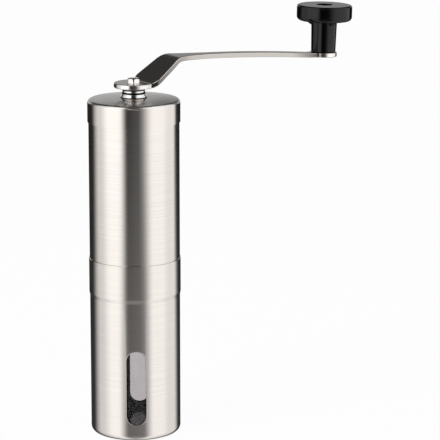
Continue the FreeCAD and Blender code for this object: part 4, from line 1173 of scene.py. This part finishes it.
@dataclass
class Studio:
    """Pale floor, soft light and the camera, in metres and degrees.

    The steel shows the room in upright bands, so what glossy rays meet is a ring of soft boxes and
    dark gaps round the object, dark where the camera stands. The floor is left out of reflections,
    and the room's own table stands in for it.
    """

    camera_place: Vector = field(default_factory=lambda: Vector((-0.0181, -1.3061, 0.4020)))
    camera_pitch: float = 12.58
    camera_turn: float = 2.7
    lens_mm: float = 215.1
    sensor_mm: float = 36.0
    floor_radius: float = 6.0
    floor_segments: int = 64
    floor_shade: str = "F8F8F8"
    glow_share: float = 0.96
    box_strength: float = 1.2
    fill_strength: float = 0.62
    key_power: float = 9.0
    key_size: float = 0.7
    key_place: Vector = field(default_factory=lambda: Vector((-0.75, -0.7, 1.25)))

    def build_camera(self) -> None:
        """Stands the camera at the photograph's angle."""
        data = bpy.data.cameras.new("camera")
        data.lens = self.lens_mm
        data.sensor_width = self.sensor_mm
        camera = bpy.data.objects.new("camera", data)
        camera.location = self.camera_place
        camera.rotation_euler = (
            math.radians(90.0 - self.camera_pitch),
            0.0,
            math.radians(-self.camera_turn),
        )
        bpy.context.scene.collection.objects.link(camera)
        bpy.context.scene.camera = camera

    def build_floor(self) -> None:
        """Lays the floor, a wide pale disc that keeps the object's shadow."""
        shape = bmesh.new()
        bmesh.ops.create_circle(
            shape, cap_ends=True, segments=self.floor_segments, radius=self.floor_radius
        )
        mesh = bpy.data.meshes.new("floor")
        shape.to_mesh(mesh)
        shape.free()
        floor = bpy.data.objects.new("floor", mesh)
        floor.visible_glossy = False
        floor.data.materials.append(self.floor_material())
        bpy.context.scene.collection.objects.link(floor)

    def floor_material(self) -> bpy.types.Material:
        """Makes the floor's paper.

        Returns:
            A matt paper that glows nearly white to the camera and through clear plastic, and so
            keeps a faint shadow.
        """
        material = bpy.data.materials.new("white_paper_sweep")
        material.use_nodes = True
        tree = material.node_tree
        tree.nodes.clear()
        share = add_node(
            tree,
            "ShaderNodeMath",
            values={1: self.glow_share},
            links={0: self.seen(tree)},
            operation="MULTIPLY",
        )
        paper = add_node(
            tree, "ShaderNodeBsdfDiffuse", values={"Color": linear(self.floor_shade)}
        )
        glow = add_node(tree, "ShaderNodeEmission", values={"Strength": 1.0})
        mix = add_node(
            tree,
            "ShaderNodeMixShader",
            links={0: share.outputs[0], 1: paper.outputs[0], 2: glow.outputs[0]},
        )
        add_node(tree, "ShaderNodeOutputMaterial", links={"Surface": mix.outputs[0]})
        return material

    def seen(self, tree: bpy.types.NodeTree) -> bpy.types.NodeSocket:
        """Adds the test of a ray from the camera, straight or through clear plastic.

        Args:
            tree: The tree of a material or the world.

        Returns:
            A socket that is one for such a ray.
        """
        path = add_node(tree, "ShaderNodeLightPath")
        straight = add_node(
            tree,
            "ShaderNodeMath",
            values={1: NO_BOUNCE},
            links={0: path.outputs["Glossy Depth"]},
            operation="LESS_THAN",
        )
        through = add_node(
            tree,
            "ShaderNodeMath",
            links={0: path.outputs["Is Transmission Ray"], 1: straight.outputs[0]},
            operation="MULTIPLY",
        )
        seen = add_node(
            tree,
            "ShaderNodeMath",
            links={0: path.outputs["Is Camera Ray"], 1: through.outputs[0]},
            operation="MAXIMUM",
        )
        return seen.outputs[0]

    def build_key(self) -> None:
        """Hangs the soft key lamp, which gives the floor its shadow."""
        data = bpy.data.lights.new("key", "AREA")
        data.shape = "DISK"
        data.size = self.key_size
        data.energy = self.key_power
        lamp = bpy.data.objects.new("key", data)
        lamp.location = self.key_place
        lamp.rotation_euler = (-self.key_place).to_track_quat("-Z", "Y").to_euler()
        lamp.visible_glossy = False
        bpy.context.scene.collection.objects.link(lamp)

    def build_world(self) -> None:
        """Lights the room: white to the camera, soft boxes to glossy rays, even to matt ones."""
        world = bpy.data.worlds.new("studio")
        bpy.context.scene.world = world
        world.use_nodes = True
        tree = world.node_tree
        tree.nodes.clear()
        path = add_node(tree, "ShaderNodeLightPath")
        fill = add_node(tree, "ShaderNodeBackground", values={"Strength": self.fill_strength})
        boxes = add_node(
            tree,
            "ShaderNodeBackground",
            values={"Strength": self.box_strength},
            links={"Color": self.room(tree)},
        )
        white = add_node(
            tree, "ShaderNodeBackground", values={"Color": (1.0, 1.0, 1.0, 1.0), "Strength": 1.0}
        )
        matt_or_gloss = add_node(
            tree,
            "ShaderNodeMixShader",
            links={0: path.outputs["Is Glossy Ray"], 1: fill.outputs[0], 2: boxes.outputs[0]},
        )
        mix = add_node(
            tree,
            "ShaderNodeMixShader",
            links={0: self.seen(tree), 1: matt_or_gloss.outputs[0], 2: white.outputs[0]},
        )
        add_node(tree, "ShaderNodeOutputWorld", links={"Surface": mix.outputs[0]})

    def bearing(self, tree: bpy.types.NodeTree) -> Bearing:
        """Adds the nodes that tell where a ray of the world points.

        Args:
            tree: The world's tree.

        Returns:
            The bearing's sockets.
        """
        place = add_node(tree, "ShaderNodeTexCoord")
        turned = add_node(
            tree,
            "ShaderNodeMapping",
            values={"Rotation": (0.0, 0.0, math.radians(self.camera_turn))},
            links={"Vector": place.outputs["Generated"]},
            vector_type="VECTOR",
        )
        parts = add_node(
            tree, "ShaderNodeSeparateXYZ", links={"Vector": turned.outputs["Vector"]}
        )
        toward = add_node(
            tree,
            "ShaderNodeMath",
            values={1: -1.0},
            links={0: parts.outputs["Y"]},
            operation="MULTIPLY",
        )
        angle = add_node(
            tree,
            "ShaderNodeMath",
            links={0: parts.outputs["X"], 1: toward.outputs[0]},
            operation="ARCTAN2",
        )
        turn = add_node(
            tree,
            "ShaderNodeMapRange",
            values={"From Min": -math.pi, "From Max": math.pi},
            links={"Value": angle.outputs[0]},
        )
        rise = add_node(
            tree,
            "ShaderNodeMapRange",
            values={"From Min": -SINE_RANGE / 2.0, "From Max": SINE_RANGE / 2.0},
            links={"Value": parts.outputs["Z"]},
        )
        return Bearing(
            side=parts.outputs["X"],
            height=parts.outputs["Z"],
            turn=turn.outputs["Result"],
            rise=rise.outputs["Result"],
        )

    def room(self, tree: bpy.types.NodeTree) -> bpy.types.NodeSocket:
        """Adds the ring of soft boxes that polished metal mirrors.

        Args:
            tree: The world's tree.

        Returns:
            The socket with the room's grey by direction.
        """
        bearing = self.bearing(tree)
        box_tops = [(angle, top + BOX_TOP_BASE) for angle, top in BOX_TOP_STOPS]
        ramps = {}
        for name, stops, full, blend, source in (
            ("low ring", LOW_RING.stops(), FULL_TURN, "EASE", bearing.turn),
            ("high ring", HIGH_RING.stops(), FULL_TURN, "EASE", bearing.turn),
            ("box top", box_tops, FULL_TURN, "LINEAR", bearing.turn),
            ("left wall", WALL_LEFT_STOPS, SINE_RANGE, "LINEAR", bearing.rise),
            ("right wall", WALL_RIGHT_STOPS, SINE_RANGE, "LINEAR", bearing.rise),
            ("table", TABLE_STOPS, SINE_RANGE, "LINEAR", bearing.rise),
        ):
            ramp = add_node(tree, "ShaderNodeValToRGB", links={"Fac": source})
            ramp.color_ramp.interpolation = blend
            placed = [(RAMP_MIDDLE + spot / full, grey) for spot, grey in stops]
            set_stops(ramp.color_ramp, placed)
            ramps[name] = ramp.outputs["Color"]
        high_height, low_height = RING_HEIGHTS
        high_share = add_node(
            tree,
            "ShaderNodeMapRange",
            values={"From Min": low_height, "From Max": high_height},
            links={"Value": bearing.height},
        )
        over_edge = add_node(
            tree,
            "ShaderNodeMath",
            links={0: bearing.height, 1: ramps["box top"]},
            operation="SUBTRACT",
        )
        over_share = add_node(
            tree,
            "ShaderNodeMapRange",
            values={"From Min": -BOX_TOP_BASE, "From Max": BOX_EDGE - BOX_TOP_BASE},
            links={"Value": over_edge.outputs[0]},
        )
        right_share = add_node(
            tree,
            "ShaderNodeMapRange",
            values={"From Min": -WALL_BLEND, "From Max": WALL_BLEND},
            links={"Value": bearing.side},
        )
        wall = add_node(
            tree,
            "ShaderNodeMix",
            links={
                MIX_FACTOR: right_share.outputs["Result"],
                COLOUR_A: ramps["left wall"],
                COLOUR_B: ramps["right wall"],
            },
            data_type="RGBA",
        )
        grey = ramps["low ring"]
        for share, layer in (
            (high_share.outputs["Result"], ramps["high ring"]),
            (over_share.outputs["Result"], wall.outputs[COLOUR_OUT]),
        ):
            mixed = add_node(
                tree,
                "ShaderNodeMix",
                links={MIX_FACTOR: share, COLOUR_A: grey, COLOUR_B: layer},
                data_type="RGBA",
            )
            grey = mixed.outputs[COLOUR_OUT]
        table = add_node(
            tree,
            "ShaderNodeMix",
            values={COLOUR_B: (TABLE_GREY, TABLE_GREY, TABLE_GREY, 1.0)},
            links={MIX_FACTOR: ramps["table"], COLOUR_A: grey},
            data_type="RGBA",
        )
        return table.outputs[COLOUR_OUT]

    def build(self) -> None:
        """Builds the whole studio."""
        self.build_camera()
        self.build_floor()
        self.build_key()
        self.build_world()
        LOG.info("studio: floor %.1f m, lens %.1f mm", self.floor_radius, self.lens_mm)


def main() -> None:
    """Loads the frame, dresses the grinder and builds the studio."""
    logging.basicConfig(level=logging.INFO, format="%(name)s: %(message)s")
    for stray in list(bpy.data.objects):
        bpy.data.objects.remove(stray)
    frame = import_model()
    palette = Palette()
    for kind in (CatchCup, Hopper, Shaft, Adjuster, Lid, Crank):
        part = kind(frame["nodes"], palette)
        part.dress()
        part.build()
    Studio().build()
    bpy.context.scene.view_settings.view_transform = "Standard"


if __name__ == "__main__":
    main()
